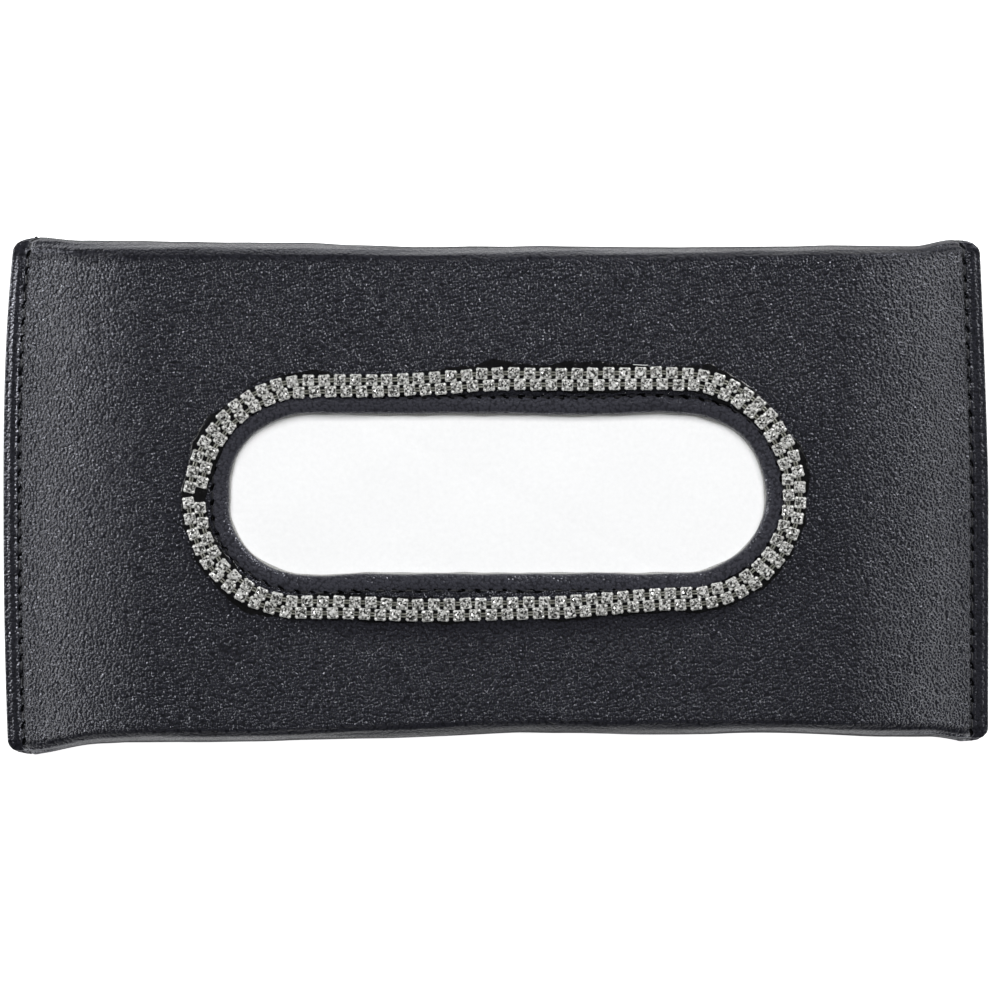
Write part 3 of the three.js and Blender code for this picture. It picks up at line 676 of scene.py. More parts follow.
def lights():
    world = bpy.data.worlds.new("studio")
    bpy.context.scene.world = world
    world.use_nodes = True
    world.node_tree.nodes["Background"].inputs["Color"].default_value = (1, 1, 1, 1)
    world.node_tree.nodes["Background"].inputs["Strength"].default_value = 0.10
    sheens = [
        ("left_sheen", (-0.40, 0.14, 0.20), 0.12, 0.5), ("left_skim", (-0.50, 0.10, 0.075), 0.10, 1.1),
        ("right_skim", (0.48, 0.16, 0.06), 0.10, 0.3), ("right_sheen", (0.26, 0.33, 0.18), 0.10, 1.5),
    ]
    for name, place, size, power in sheens:
        softbox(name, place, (size, size), power, diffuse=False)
    glows = [
        ("far", (0, 0.275), (0.7, 0.41), 1.5), ("near", (0, -0.275), (0.7, 0.41), 1.2),
        ("left", (-0.225, 0), (0.2, 0.3), 0.55), ("right", (0.225, 0), (0.2, 0.3), 0.5),
    ]
    for name, place, size, power in glows:
        softbox(f"table_glow_{name}", (*place, MM), size, power, diffuse=False, aim=(0, 0, 1))
    softbox("overhead_fill", (0, 0.4, 1.15), (1.2, 0.8), 17.8, glossy=False)


# Places round the slot
def slot_share(x, y, offset=0.0):
    """How far round the slot a place is: 0 at the middle of its right end, anticlockwise, up to 1."""
    radius = SLOT_HALF_WIDTH + offset
    quarter = radius * math.pi / 2
    right = radius * np.arctan2(y, x - SLOT_STRAIGHT)
    left = radius * (np.arctan2(y, x + SLOT_STRAIGHT) % TURN) + 2 * SLOT_STRAIGHT
    top = quarter + SLOT_STRAIGHT - x
    bottom = 3 * quarter + 3 * SLOT_STRAIGHT + x
    along = np.where(x > SLOT_STRAIGHT, right, np.where(y > 0, top, bottom))
    along = np.where(x < -SLOT_STRAIGHT, left, along)
    return along / slot_length(offset) % 1


def slot_length(offset):
    return TURN * (SLOT_HALF_WIDTH + offset) + 4 * SLOT_STRAIGHT


def swells(share, places):
    """The sum of swellings round the slot."""
    return sum(size * HAND_STRAY * bell((share - at + 0.5) % 1 - 0.5, width) for at, width, size in places)


def slot_stray(share):
    """How far the hand-turned edge strays outwards from an even slot."""
    return swells(share, SLOT_STRAY_SHARES)


def slot_distance(x, y):
    """How far a place on the front is outside the slot's edge."""
    past_straight = np.maximum(np.abs(x) - SLOT_STRAIGHT, 0)
    return np.hypot(past_straight, y) - SLOT_HALF_WIDTH - slot_stray(slot_share(x, y))


def stadium(offset, count, strays=True):
    """Evenly spread places round the slot at an offset from its edge, and the ways out from it."""
    radius = SLOT_HALF_WIDTH + offset
    quarter, straight = radius * math.pi / 2, 2 * SLOT_STRAIGHT
    ends = np.cumsum([quarter, straight, 2 * quarter, straight])
    d = np.arange(count) / count * slot_length(offset)
    stretches = [d < end for end in ends]
    angle = np.select(
        stretches,
        [d / radius, math.pi / 2, math.pi / 2 + (d - ends[1]) / radius, 3 * math.pi / 2],
        3 * math.pi / 2 + (d - ends[3]) / radius,
    )
    centre = np.select(
        stretches,
        [SLOT_STRAIGHT, SLOT_STRAIGHT - (d - ends[0]), -SLOT_STRAIGHT, -SLOT_STRAIGHT + (d - ends[2])],
        SLOT_STRAIGHT,
    )
    outward = np.stack([np.cos(angle), np.sin(angle)], -1)
    places = np.stack([centre, 0 * centre], -1) + radius * outward
    if strays:
        places = places + outward * slot_stray(slot_share(*places.T))[:, None]
    return places, outward


# The sleeve's leather, by its place on the flat pattern: x along it, and q across it from the middle line
Q_FLAT = FLAT_HALF_WIDTH - FOLD_REACH
Q_FRONT_ARC = Q_FLAT + FOLD_RADIUS * math.pi / 2
Q_WALL = Q_FRONT_ARC + DEPTH - 2 * FOLD_RADIUS
Q_BACK_ARC = Q_WALL + FOLD_RADIUS * math.pi / 2
Q_EDGE = Q_BACK_ARC + Q_FLAT - RETURN_EDGE


def edge_line(x, middle, rise_shares):
    """How far a long edge is from the middle line, with all that it widens by."""
    total = np.full(np.shape(x), middle)
    for start, end, rise in rise_shares:
        total = total + rise * HAND_STRAY * smooth((x / HALF_LENGTH - start) / (end - start))
    return total


def half_width_at(x, q):
    top, bottom = edge_line(x, TOP_MIDDLE, TOP_RISE_SHARES), edge_line(x, BOTTOM_MIDDLE, BOTTOM_RISE_SHARES)
    return np.where(q >= 0, top, bottom)


def fold_reach(x, q):
    """How far the fold's round edge comes in from the outline."""
    share = smooth((x + HALF_LENGTH) / (2 * HALF_LENGTH))
    return np.where(q >= 0, TOP_REACH_LEFT + share * (TOP_REACH_RIGHT - TOP_REACH_LEFT), BOTTOM_REACH)


def depth_at(x):
    share = np.clip((HALF_LENGTH - np.abs(x) - RAMP_START) / RAMP, 0, 1)
    return END_DEPTH + (DEPTH - END_DEPTH) * (1 - (1 - share) ** RAMP_POWER)


def end_bow(x, y):
    """How far the sewn end bows in from the sleeve's full length at a place across it."""
    pull = np.zeros(np.broadcast(x, y).shape)
    share = np.clip(np.abs(y) / BOW_WIDTH, 0, BOW_END_SHARE)
    for bow_shares, here in ((LEFT_BOW_SHARES, x < 0), (RIGHT_BOW_SHARES, x >= 0)):
        for side, depth, power in bow_shares:
            pull = np.where(here & (np.sign(y) == side), depth * HAND_STRAY * share**power, pull)
    return pull


def drawn_in(x, y, half_width):
    """Where a place lands once the end is bowed and its corner rounded."""
    past = np.clip(np.abs(y) - half_width + END_CORNER, 0, END_CORNER)
    corner = END_CORNER - np.sqrt(END_CORNER**2 - past**2)
    bow_share = smooth((np.abs(x) - SKEW_START) / (HALF_LENGTH - SKEW_START))
    corner_share = smooth((np.abs(x) - HALF_LENGTH + CORNER_START) / CORNER_START)
    reach = np.where(x < 0, LEFT_REACH, RIGHT_REACH) - end_bow(x, y)
    return x + np.sign(x) * (bow_share * reach - corner_share * corner)


def sleeve_base(x, q):
    """The leather's outer face without its relief."""
    x, q = np.broadcast_arrays(np.asarray(x, float), np.asarray(q, float))
    half_width = half_width_at(x, q)
    depth = depth_at(x)
    fold = np.minimum(FOLD_RADIUS, FOLD_DEPTH_SHARE * depth)
    reach = fold_reach(x, q)
    flat = half_width - reach
    p = np.abs(q)
    front_angle = np.clip((p - Q_FLAT) / (Q_FRONT_ARC - Q_FLAT), 0, 1) * math.pi / 2
    back_angle = np.clip((p - Q_WALL) / (Q_BACK_ARC - Q_WALL), 0, 1) * math.pi / 2
    wall = np.clip((p - Q_FRONT_ARC) / (Q_WALL - Q_FRONT_ARC), 0, 1)
    home = np.clip((p - Q_BACK_ARC) / (Q_EDGE - Q_BACK_ARC), 0, 1)
    y = np.where(p < CORE, p, CORE + (p - CORE) * (flat - CORE) / (Q_FLAT - CORE))
    y = np.where(p >= Q_FLAT, flat + reach * np.sin(front_angle), y)
    y = np.where(p >= Q_WALL, flat + reach * np.cos(back_angle), y)
    y = np.where(p >= Q_BACK_ARC, flat - home * (flat - RETURN_EDGE), y)
    z = depth - fold + fold * np.cos(front_angle) - wall * (depth - 2 * fold) - fold * np.sin(back_angle)
    y = y * np.where(q >= 0, 1, -1)
    return np.stack([drawn_in(x, y, half_width), y, BACK_Z + z], -1)


def sleeve_normal(x, q):
    step = 0.15 * MM
    along = sleeve_base(x + step, q) - sleeve_base(x - step, q)
    across = sleeve_base(x, q + step) - sleeve_base(x, q - step)
    normal = np.cross(along, across)
    return normal / np.linalg.norm(normal, axis=-1, keepdims=True)


SEAM_Q = np.linspace(-Q_EDGE, Q_EDGE, 1400)
SEAM_LENGTHS = {side: lengths(sleeve_base(side * (HALF_LENGTH - END_SEAM), SEAM_Q)) for side in (-1, 1)}


def stitch_marks(across, along, stitch):
    """The leather's relief along a line of stitches: a groove, slanted holes, and puffs beside them."""
    pitch, groove_depth, hole_depth = stitch
    groove_width, hole_width, hole_length = 0.38 * MM, 0.34 * MM, 0.8 * MM
    puff_place, puff_width = 0.95 * MM, 0.45 * MM
    beside = ((along / pitch + 0.5) % 1 - 0.5) * pitch
    hole = bell(across - 0.3 * beside, hole_width) * bell(beside, hole_length)
    puff = 0.25 * (1 - np.cos(TURN * along / pitch)) * bell(np.abs(across) - puff_place, puff_width)
    return groove_depth * (puff - bell(across, groove_width)) - hole_depth * hole


def seam_place(seams):
    """Of several (across, turns along) seams, the nearest one's, for the needle holes' paint."""
    across = np.full(np.broadcast(*[part for seam in seams for part in seam]).shape, NO_SEAM)
    turns = np.zeros(across.shape)
    for here, along in seams:
        nearer = np.abs(here) < np.abs(across)
        across, turns = np.where(nearer, here, across), np.where(nearer, along, turns)
    angle = TURN * turns
    return {"across": across / MM, "turn_x": np.cos(angle), "turn_y": np.sin(angle)}


def joined_marks(*marks):
    return {key: np.concatenate([part[key].ravel() for part in marks]) for key in marks[0]}


def plain_marks(count):
    return {"across": np.full(count, NO_SEAM / MM), "turn_x": np.ones(count), "turn_y": np.zeros(count)}


def end_marks(from_end, along):
    """The relief of a sewn end: its stitches, a ridge inside them, and a lip that falls to the edge."""
    ridge_place, outer_width, inner_width = 1.3 * MM, 0.7 * MM, 1.8 * MM
    ridge_height, ridge_swing = 0.30 * MM, 0.12 * MM
    lip_height, lip_place, lip_width = 0.16 * MM, -0.55 * MM, 0.36 * MM
    trough_depth, trough_place, trough_width = 0.10 * MM, -1.4 * MM, 0.6 * MM
    fall_depth, fall_start = 0.7 * MM, 1.9 * MM
    across = from_end - END_SEAM
    ridge_width = np.where(across < ridge_place, outer_width, inner_width)
    ridge = ridge_height + ridge_swing * np.cos(TURN * along / END_PITCH)
    relief = stitch_marks(across, along, END_STITCH) + ridge * bell(across - ridge_place, ridge_width)
    relief = relief + lip_height * bell(across - lip_place, lip_width)
    relief = relief - trough_depth * bell(across - trough_place, trough_width)
    return relief - fall_depth * smooth((fall_start - from_end) / (fall_start - NOSE))


def return_seam(x, q):
    """How far outside its seam a place on the leather's turned-round edge is."""
    from_edge = np.abs(sleeve_base(x, q)[..., 1]) - RETURN_EDGE
    return from_edge + np.maximum(Q_BACK_ARC - np.abs(q), 0) - SIDE_SEAM


def sleeve_relief(x, q):
    """How far the leather swells or sinks."""
    swell_start, fold_ease, back_ease = 30 * MM, 4 * MM, 3 * MM
    wrinkle_start, wrinkle_ease = 3 * MM, 5 * MM
    hem_ease, pull_height, pull_width = 0.8 * MM, 0.10 * MM, 0.6 * MM
    press_depth, press_width = 0.12 * MM, 5 * MM
    from_end, from_fold = HALF_LENGTH - np.abs(x), np.abs(q) - Q_FLAT
    relief = waves(x, q, COVER_SWELL) * smooth(from_end / swell_start) + waves(x, q, COVER_RIPPLE)
    flatness = 1 - 0.75 * smooth(from_fold / fold_ease) * smooth((Q_BACK_ARC - np.abs(q)) / back_ease)
    for side in (-1, 1):
        along = np.interp(q, SEAM_Q, SEAM_LENGTHS[side])
        relief = relief + np.where(np.sign(x) == side, end_marks(from_end, along) * flatness, 0)
    relief = relief + smooth((from_fold + wrinkle_start) / wrinkle_ease) * waves(0.12 * x, q, FOLD_WRINKLE)
    past_hem = slot_distance(x, q) - SLOT_HEM
    pulled = pull_height * np.cos(slot_turns(x, q) * TURN) * bell(past_hem - hem_ease, pull_width)
    dip = SLOT_DIP * smooth((hem_ease - past_hem) / hem_ease)
    pressed = press_depth * bell(past_hem + SLOT_HEM - CHAIN_MIDDLE, press_width)
    side_relief = stitch_marks(return_seam(x, q), x, RETURN_STITCH)
    return relief + np.where(np.abs(q) < CORE, pulled - dip - pressed, side_relief)


def slot_turns(x, y):
    """How many of the slot's stitches a place is from the middle of the slot's right end."""
    return round(slot_length(SLOT_HEM) / SLOT_PITCH) * slot_share(x, y, SLOT_HEM)


def sleeve_seams(x, q):
    """Where the needle holes of the sleeve's seams are, for its paint."""
    from_end = HALF_LENGTH - np.abs(x)
    along = np.where(x < 0, *(np.interp(q, SEAM_Q, SEAM_LENGTHS[side]) for side in (-1, 1)))
    slot = slot_distance(x, q) - SLOT_HEM + NO_SEAM * (np.abs(q) > CORE)
    seams = [(from_end - END_SEAM, along / END_PITCH), (slot, slot_turns(x, q))]
    return seam_place(seams + [(return_seam(x, q), x / BACK_PITCH)])


def sleeve_skin(x, q):
    return sleeve_base(x, q) + sleeve_normal(x, q) * sleeve_relief(x, q)[..., None]


def turned_rows(row, normal, side, radius, inward):
    """Rows that turn a sheet's edge over a small nose and run back under it."""
    rows = []
    for angle in np.linspace(0, math.pi, 8)[1:]:
        rows.append(row + side * radius * math.sin(angle) - normal * radius * (1 - math.cos(angle)))
    last = rows[-1]
    return rows + [last - side * back for back in inward]


def holed_panel(x_parts, y_parts, skin_at, seams_at, end_rows, hole, shares, hole_rows=None):
    """A leather panel with turned ends and a hole in it.

    Its lines each way come in three parts, of which the middle ones cross at the hole. It gives the points,
    the faces, the marks of the seams, and each point's y on the flat pattern.
    """
    x_lines, y_lines = np.concatenate(x_parts), np.concatenate(y_parts)
    xs, ys = np.meshgrid(x_lines, y_lines, indexing="ij")
    skin = skin_at(xs, ys)
    left, right = (np.stack(end_rows(side, skin[row], xs[row], y_lines)) for row, side in ((0, -1), (-1, 1)))
    points = np.concatenate([left[::-1], skin, right])
    hidden = len(left) * len(y_lines)

    row, column = len(left) + len(x_parts[0]), len(y_parts[0])
    block = (row, row + len(x_parts[1]) - 1, column, column + len(y_parts[1]) - 1)
    faces, rim = opened_grid(*points.shape[:2], block)
    outer = np.stack([xs.ravel(), ys.ravel()], -1)[rim - hidden]
    inner, out = hole(outer)
    rings = inner + np.reshape(shares, (-1, 1, 1)) * (outer - inner)
    ring_points = skin_at(rings[..., 0], rings[..., 1])
    turned = np.stack(hole_rows(ring_points[0], out))[::-1] if hole_rows else ring_points[:0]
    rows = np.concatenate([turned, ring_points])
    ids = np.arange(len(rows) * len(rim)).reshape(-1, len(rim)) + points.shape[0] * points.shape[1]

    all_points = np.concatenate([points.reshape(-1, 3), rows.reshape(-1, 3)])
    all_faces = np.concatenate([faces, ring_faces(np.concatenate([ids, rim[None]]))])
    ends, turned_count = plain_marks(hidden), turned.shape[0] * turned.shape[1]
    seams = [ends, seams_at(xs, ys), ends, plain_marks(turned_count), seams_at(rings[..., 0], rings[..., 1])]
    end_ys = np.tile(y_lines, len(left))
    flat_y = np.concatenate([end_ys, ys.ravel(), end_ys, np.zeros(turned_count), rings[..., 1].ravel()])
    return all_points, all_faces, joined_marks(*seams), flat_y


def mirrored(start, beyond, count):
    """Lines in three parts: a middle one as far as start on both sides, and what lies beyond it, twice."""
    return [-beyond[::-1], np.linspace(-start, start, count), beyond]


def front_ends(side, row, xs, q):
    """The front's end, turned over a nose and run back under itself."""
    rows = turned_rows(row, sleeve_normal(xs, q), np.array([side, 0, 0]), NOSE, ())
    for back in (1.5 * MM, 4 * MM, 7 * MM):
        x = np.full(len(q), side * (HALF_LENGTH - NOSE - back))
        rows.append(sleeve_base(x, q) - sleeve_normal(x, q) * 2 * NOSE)
    return rows


def slot_hole(outer):
    radius = SLOT_HALF_WIDTH + SLOT_HEM
    inner, out = on_rounded_hole(outer, np.zeros(2), (SLOT_STRAIGHT + radius, radius), radius)
    return inner + out * slot_stray(slot_share(*inner.T))[:, None], out


def front_leather():
    patch_x, patch_q, end_zone = 78 * MM, 31 * MM, 8 * MM
    side_x = ladder((patch_x, HALF_LENGTH - end_zone, HALF_LENGTH - NOSE), (27, 34))
    side_q = ladder((patch_q, Q_FLAT, Q_FRONT_ARC, Q_WALL, Q_BACK_ARC, Q_EDGE), (46, 29, 6, 29, 10))
    shares = np.concatenate([[0], ladder((0, 0.14, 1), (8, 18))])[:-1]
    points, faces, seams, q = holed_panel(
        mirrored(patch_x, side_x, 79), mirrored(patch_q, side_q, 151), sleeve_skin, sleeve_seams, front_ends,
        slot_hole, shares,
    )
    cover = piece(
        "front_leather", points, faces, LEATHER_PAINT, "leather", replaces=["front_cover"], merge=False,
    )
    x, past_fold = points[:, 0], np.abs(q) - Q_FLAT
    fold_ease, hem_ease = 4 * MM, MM
    hem = 0.85 * smooth((END_SEAM - HALF_LENGTH + np.abs(x)) / hem_ease)
    dress(cover, np.maximum(hem, smooth(past_fold / fold_ease)), seams)
    mark(cover, "dull", fold_dullness(x, q, past_fold))
    thicken(cover, SHELL)


def fold_dullness(x, q, past_fold):
    """How dull the leather's start of a fold is; it has its gloss again where the fold turns down."""
    right_start, right_ease = 20 * MM, 70 * MM
    top_glow, top_glow_gain = 3.2 * MM, 2.5 * MM
    bottom_glow, bottom_glow_gain, middle_width = 3.8 * MM, 4 * MM, 45 * MM
    dull_ease, glow_ease = 1.5 * MM, 3 * MM
    right_share = smooth((x - right_start) / right_ease)
    top_start = top_glow + top_glow_gain * right_share
    bottom_start = bottom_glow + bottom_glow_gain * bell(x, middle_width)
    strength = np.where(q > 0, 0.75 + 0.2 * right_share, 1.0)
    glow = smooth((past_fold - np.where(q > 0, top_start, bottom_start)) / glow_ease)
    return strength * smooth(past_fold / dull_ease) * (1 - glow)


# Sewing
def stitches(name, line, normals, turns, body="sleeve", sink=0.9 * MM, rise=0.02 * MM):
    """Thread from needle hole to needle hole along a line on the leather, one stitch to a turn."""
    first = math.ceil(turns[0] - 1e-6)
    count = int(turns[-1] + 1e-6) - first
    shares = np.linspace(0.12, 0.88, 15)
    at = first + np.arange(count)[:, None] + shares
    normals = np.broadcast_to(normals, np.shape(line))
    centre, normal = places_at(at, turns, line), places_at(at, turns, normals)
    height = (sink + rise) * smooth((np.minimum(shares, 1 - shares) - 0.18) / 0.14) - sink
    thread = tubes(centre + normal * height[:, None], normal, THREAD)
    return piece(name, *thread, THREAD_PAINT, "leather", body=body)


def loop_stitches(name, line, pitch, **options):
    """Whole stitches round a closed line on the back."""
    line = closed(line)
    steps = lengths(line)
    stitches(name, line, -UP, steps / steps[-1] * round(steps[-1] / pitch), **options)


def end_stitches():
    edge_margin, depth = 2 * MM, 0.20 * MM
    for name, side in (("left", -1), ("right", 1)):
        keep = np.abs(SEAM_Q) < Q_EDGE - edge_margin
        x, q = np.full(keep.sum(), side * (HALF_LENGTH - END_SEAM)), SEAM_Q[keep]
        normal = sleeve_normal(x, q)
        line = sleeve_base(x, q) - normal * depth
        stitches(f"end_stitches_{name}", line, normal, SEAM_LENGTHS[side][keep] / END_PITCH)


def straight_stitches(name, reach, y, z):
    line = np.linspace((-reach, y, z), (reach, y, z), 60)
    stitches(name, line, -UP, line[:, 0] / BACK_PITCH)


# Slot's edge
# The top of the rolled edge, from its seam inwards: out from the slot's edge and down, as shares of the hem
ROLL_TOP_SHARES = [
    (0.9875, 0.075), (0.925, 0.055), (0.85, 0.02), (0.75, -0.005), (0.625, -0.02), (0.5, -0.025),
]


def roll_section():
    """The slot's rolled edge: places as (out from the slot's edge, down from the front)."""
    half, tuck = ROLL_HEIGHT / 2, 0.12 * MM
    turn = [(half - half * math.sin(a), half - half * math.cos(a)) for a in np.linspace(0, math.pi, 15)]
    top = [(out * SLOT_HEM, down * SLOT_HEM) for out, down in ROLL_TOP_SHARES]
    return np.array([(SLOT_HEM, SLOT_DIP + tuck)] + top + turn + [(SLOT_HEM, ROLL_HEIGHT), (SLOT_HEM, half)])


def slot_roll():
    upper_side, hole_reach, hole_depth = MM, 1.5 * MM, 0.15 * MM
    lip_start, lip_ease = 2.4 * MM, 2 * MM
    thread_depth, thread_rise = 0.05 * MM, -0.06 * MM
    section = roll_section()
    out, down = section.T
    count = 960
    places, outward = stadium(0, count)
    points = np.empty((count, len(section), 3))
    points[..., :2] = places[:, None] + outward[:, None] * section[None, :, :1]
    points[..., 2] = FRONT_Z - down
    seams, _ = stadium(SLOT_HEM, count)
    turns = slot_turns(*seams.T)
    to_seam = np.clip(1 - (SLOT_HEM - out) / hole_reach, 0, 1) * (down < upper_side)
    holes = (0.5 + 0.5 * np.cos(TURN * turns))[:, None] ** 3 * to_seam**2
    points[..., 2] += waves(points[..., 0], points[..., 1], ROLL_LUMPS) - hole_depth * holes
    lip = smooth((lip_start - out) / lip_ease)
    inward = waves(seams[:, 0], seams[:, 1], ROLL_STRAY)
    points[..., :2] += outward[:, None] * (inward[:, None] * lip)[..., None]
    skin = loft(points, ring=True)
    roll = piece("slot_roll", *skin, ROLL_SHEEN_PAINT, "leather", replaces=["slot_edge_roll"], merge=False)
    across = np.where(down < upper_side, out - SLOT_HEM, -NO_SEAM)
    dress(roll, np.tile(0.15 + 0.25 * lip, count), joined_marks(seam_place([(across[None], turns[:, None])])))
    around = np.append(turns, round(slot_length(SLOT_HEM) / SLOT_PITCH))
    line = closed(at_height(seams, FRONT_Z - SLOT_DIP - thread_depth))
    stitches("slot_stitches", line, UP, around, rise=thread_rise)


def slot_backing_and_rim_light():
    """The cut edge of the turned leather, with its pale cloth backing, just inside the roll. Its pale colour
    also paints the white tissue's light on the roll's inner wall.
    """
    count, reach = 480, 0.30 * MM
    hidden, low, middle, high = 1.6 * MM, 0.40 * MM, 0.70 * MM, 0.95 * MM
    places, outward = stadium(0, count)
    edge = -reach - waves(places[:, 0], places[:, 1], BACKING_STRAY)
    section = [(edge, low), (edge, middle), (0.6 * edge, high), (hidden, high), (hidden, low)]
    loops = [at_height(places + outward * np.reshape(out, (-1, 1)), roll_low.z + up) for out, up in section]
    piece("slot_backing_and_rim_light", *loft(np.stack(loops, 1), ring=True), BACKING_AND_RIM_LIGHT_PAINT, "lining")


# Crystal chain
def chain_line(offset, count):
    """A row's path, which strays with the hand that laid it."""
    places, outward = stadium(offset, count, strays=False)
    share = slot_share(*places.T)
    drift = sum(
        size * HAND_STRAY * np.cos(harmonic * TURN * share - phase)
        for harmonic, size, phase in CHAIN_WAVE_SHARES
    )
    return places + outward * drift[:, None], outward


def chain_places(offset, gap):
    """Where the cups of a row are, from its gap round to it again, and the ways they head."""
    count = 4000
    line = closed(np.roll(chain_line(offset, count)[0], -count // 2, axis=0))
    steps = lengths(line)
    cups = round((steps[-1] - gap) / PITCH)
    at = gap / 2 + (np.arange(cups) + 0.5) * (steps[-1] - gap) / cups
    places = places_at(at, steps, line)
    ahead = np.gradient(places, axis=0)
    return places, np.arctan2(ahead[:, 1], ahead[:, 0])


def rounded_square(half, radius, z, corner_points=3):
    loop = []
    for corner in range(4):
        middle = (corner + 0.5) * TURN / 4
        centre = (half - radius) * math.sqrt(2)
        for step in range(corner_points):
            angle = middle + (step / (corner_points - 1) - 0.5) * TURN / 4
            x = centre * math.cos(middle) + radius * math.cos(angle)
            loop.append((x, centre * math.sin(middle) + radius * math.sin(angle), z))
    return loop


# A cup's wall, as (width as a share of the cup, height as a share of the wall)
CUP_WALL_SHARES = [(0.84, 0.0), (0.97, 0.1714), (0.97, 0.8571), (0.93, 1.0), (0.84, 0.9714), (0.78, 0.5)]
# A claw from foot to tip: its reach, as shares of half a cup, and its height, width and thickness, of its own
CLAW_SHARES = np.array([
    (1.14, 0.1918, 0.8571, 0.8571), (1.20, 0.5137, 1.0, 0.9286), (1.18, 0.7671, 1.0, 1.0),
    (1.02, 0.9452, 0.8571, 0.9286), (0.80, 1.0, 0.5238, 0.7143),
])


def cup_shape():
    """A square cup with a claw at each corner."""
    half, wall, claw_height, claw_width, claw_thickness = CUP / 2, 0.70 * MM, 1.46 * MM, 0.42 * MM, 0.14 * MM
    parts = [loft([rounded_square(half * wide, 0.32 * half * wide, z * wall) for wide, z in CUP_WALL_SHARES])]
    reach, height, wide, thick = (CLAW_SHARES * (half, claw_height, claw_width, claw_thickness)).T
    for corner in range(4):
        angle = (corner + 0.5) * TURN / 4
        out = np.array([math.cos(angle), math.sin(angle), 0])
        path = out * reach[:, None] + UP * height[:, None]
        parts.append(tubes([path], [np.tile(out + UP / 2, (len(path), 1))], wide, thick, sides=8))
    return joined(parts)


def stone_shape():
    """A round cut stone: girdle, crown facets, and a table that falls in a shallow star to its middle."""
    girdle, girdle_z, base_z = 1.20 * MM, 0.92 * MM, 0.5 * MM
    crown, crown_z = 0.92 * MM, 1.24 * MM
    table, table_z, eye_z = 0.66 * MM, 1.54 * MM, 1.44 * MM

    def ring(radius, z, count, turn=0.0):
        angles = (np.arange(count) + turn) * TURN / count
        return at_height(radius * np.stack([np.cos(angles), np.sin(angles)], -1), z)

    points = np.concatenate([
        ring(0.9 * girdle, base_z, 16), ring(girdle, girdle_z, 16), ring(crown, crown_z, 8),
        ring(table, table_z, 8, 0.5), [UP * eye_z],
    ])
    faces = [list(range(16))[::-1]]
    for i in range(16):
        j = (i + 1) % 16
        faces.append([i, j, 16 + j, 16 + i])
    for i in range(8):
        j = (i + 1) % 8
        g, m, t = 16 + 2 * i, 32 + i, 40 + i
        g_next, g_after, m_next = g + 1, 16 + 2 * j, 32 + j
        faces += [[g, g_next, m], [g_next, g_after, m_next], [g_next, t, m], [g_next, m_next, t]]
        faces += [[m_next, 40 + j, t], [40 + j, 48, t]]
    return points, faces


def placed(shape, places, headings, tilts):
    """A shape on each cup's place, turned, tilted and raised."""
    points, faces = shape
    points = np.asarray(points).reshape(-1, 3)
    parts = []
    for (x, y), heading, (tilt_x, tilt_y, rise) in zip(places, headings, tilts):
        c, s = math.cos(heading), math.sin(heading)
        turned = points @ np.array([[c, s, 0], [-s, c, 0], [0, 0, 1]])
        turned = turned + np.outer(turned[:, 0] * tilt_x + turned[:, 1] * tilt_y, UP)
        parts.append((turned + np.array([x, y, CUP_BOTTOM + rise]), faces))
    return joined(parts)


def crystal_chain(name, offset, gap, seed):
    place_stray, turn_stray, tilt_stray, rise_stray = 0.06 * MM, 0.06, 0.05, 0.03 * MM
    bar_aside, bar_height, bar_radius = 0.30 * MM, 0.5 * MM, 0.21 * MM
    draw = np.random.default_rng(seed)
    places, headings = chain_places(offset, gap)
    count = len(places)
    places = places + draw.normal(0, place_stray, (count, 2))
    headings = headings + draw.normal(0, turn_stray, count)
    tilts = np.concatenate([
        draw.normal(0, tilt_stray, (count, 2)), np.abs(draw.normal(0, rise_stray, (count, 1))),
    ], 1)
    node = [f"{name}_crystal_chain"]
    piece(f"{name}_cups", *placed(cup_shape(), places, headings, tilts), CUP_PAINT, "crystal", replaces=node)
    spins = headings + draw.uniform(0, TURN, count)
    tilts[:, :2] += draw.normal(0, tilt_stray, (count, 2))
    stones = piece(
        f"{name}_stones", *placed(stone_shape(), places, spins, tilts), STONE_PAINT, "crystal", flat=True,
        replaces=node, merge=False,
    )
    # A random brightness for each facet, for the stones' painted glints
    mark(stones, "facet", draw.uniform(0, 1, len(stones.data.polygons)), "FACE")
    paths = []
    for here, beyond in zip(places[:-1], places[1:]):
        along = (beyond - here) / np.linalg.norm(beyond - here)
        side = np.array([-along[1], along[0]]) * bar_aside
        for way in (-1, 1):
            bar = np.stack([here + (beyond - here) * share + side * way for share in (0.25, 0.5, 0.75)])
            paths.append(at_height(bar, CUP_BOTTOM + bar_height))
    bars = tubes(paths, np.tile(UP, (len(paths), 3, 1)), bar_radius, sides=8)
    piece(f"{name}_links", *bars, LINK_PAINT, "crystal", replaces=node)


# Glue
def glue_edge(turn, seed, size):
    """An uneven edge round the chain."""
    draw = np.random.default_rng(seed)
    total = np.zeros(len(turn))
    for k in (3, 7, 13, 23, 41, 67, 97):
        total += draw.normal(0, 1) / math.sqrt(k) * np.sin(k * turn + draw.uniform(0, TURN))
    return size * total


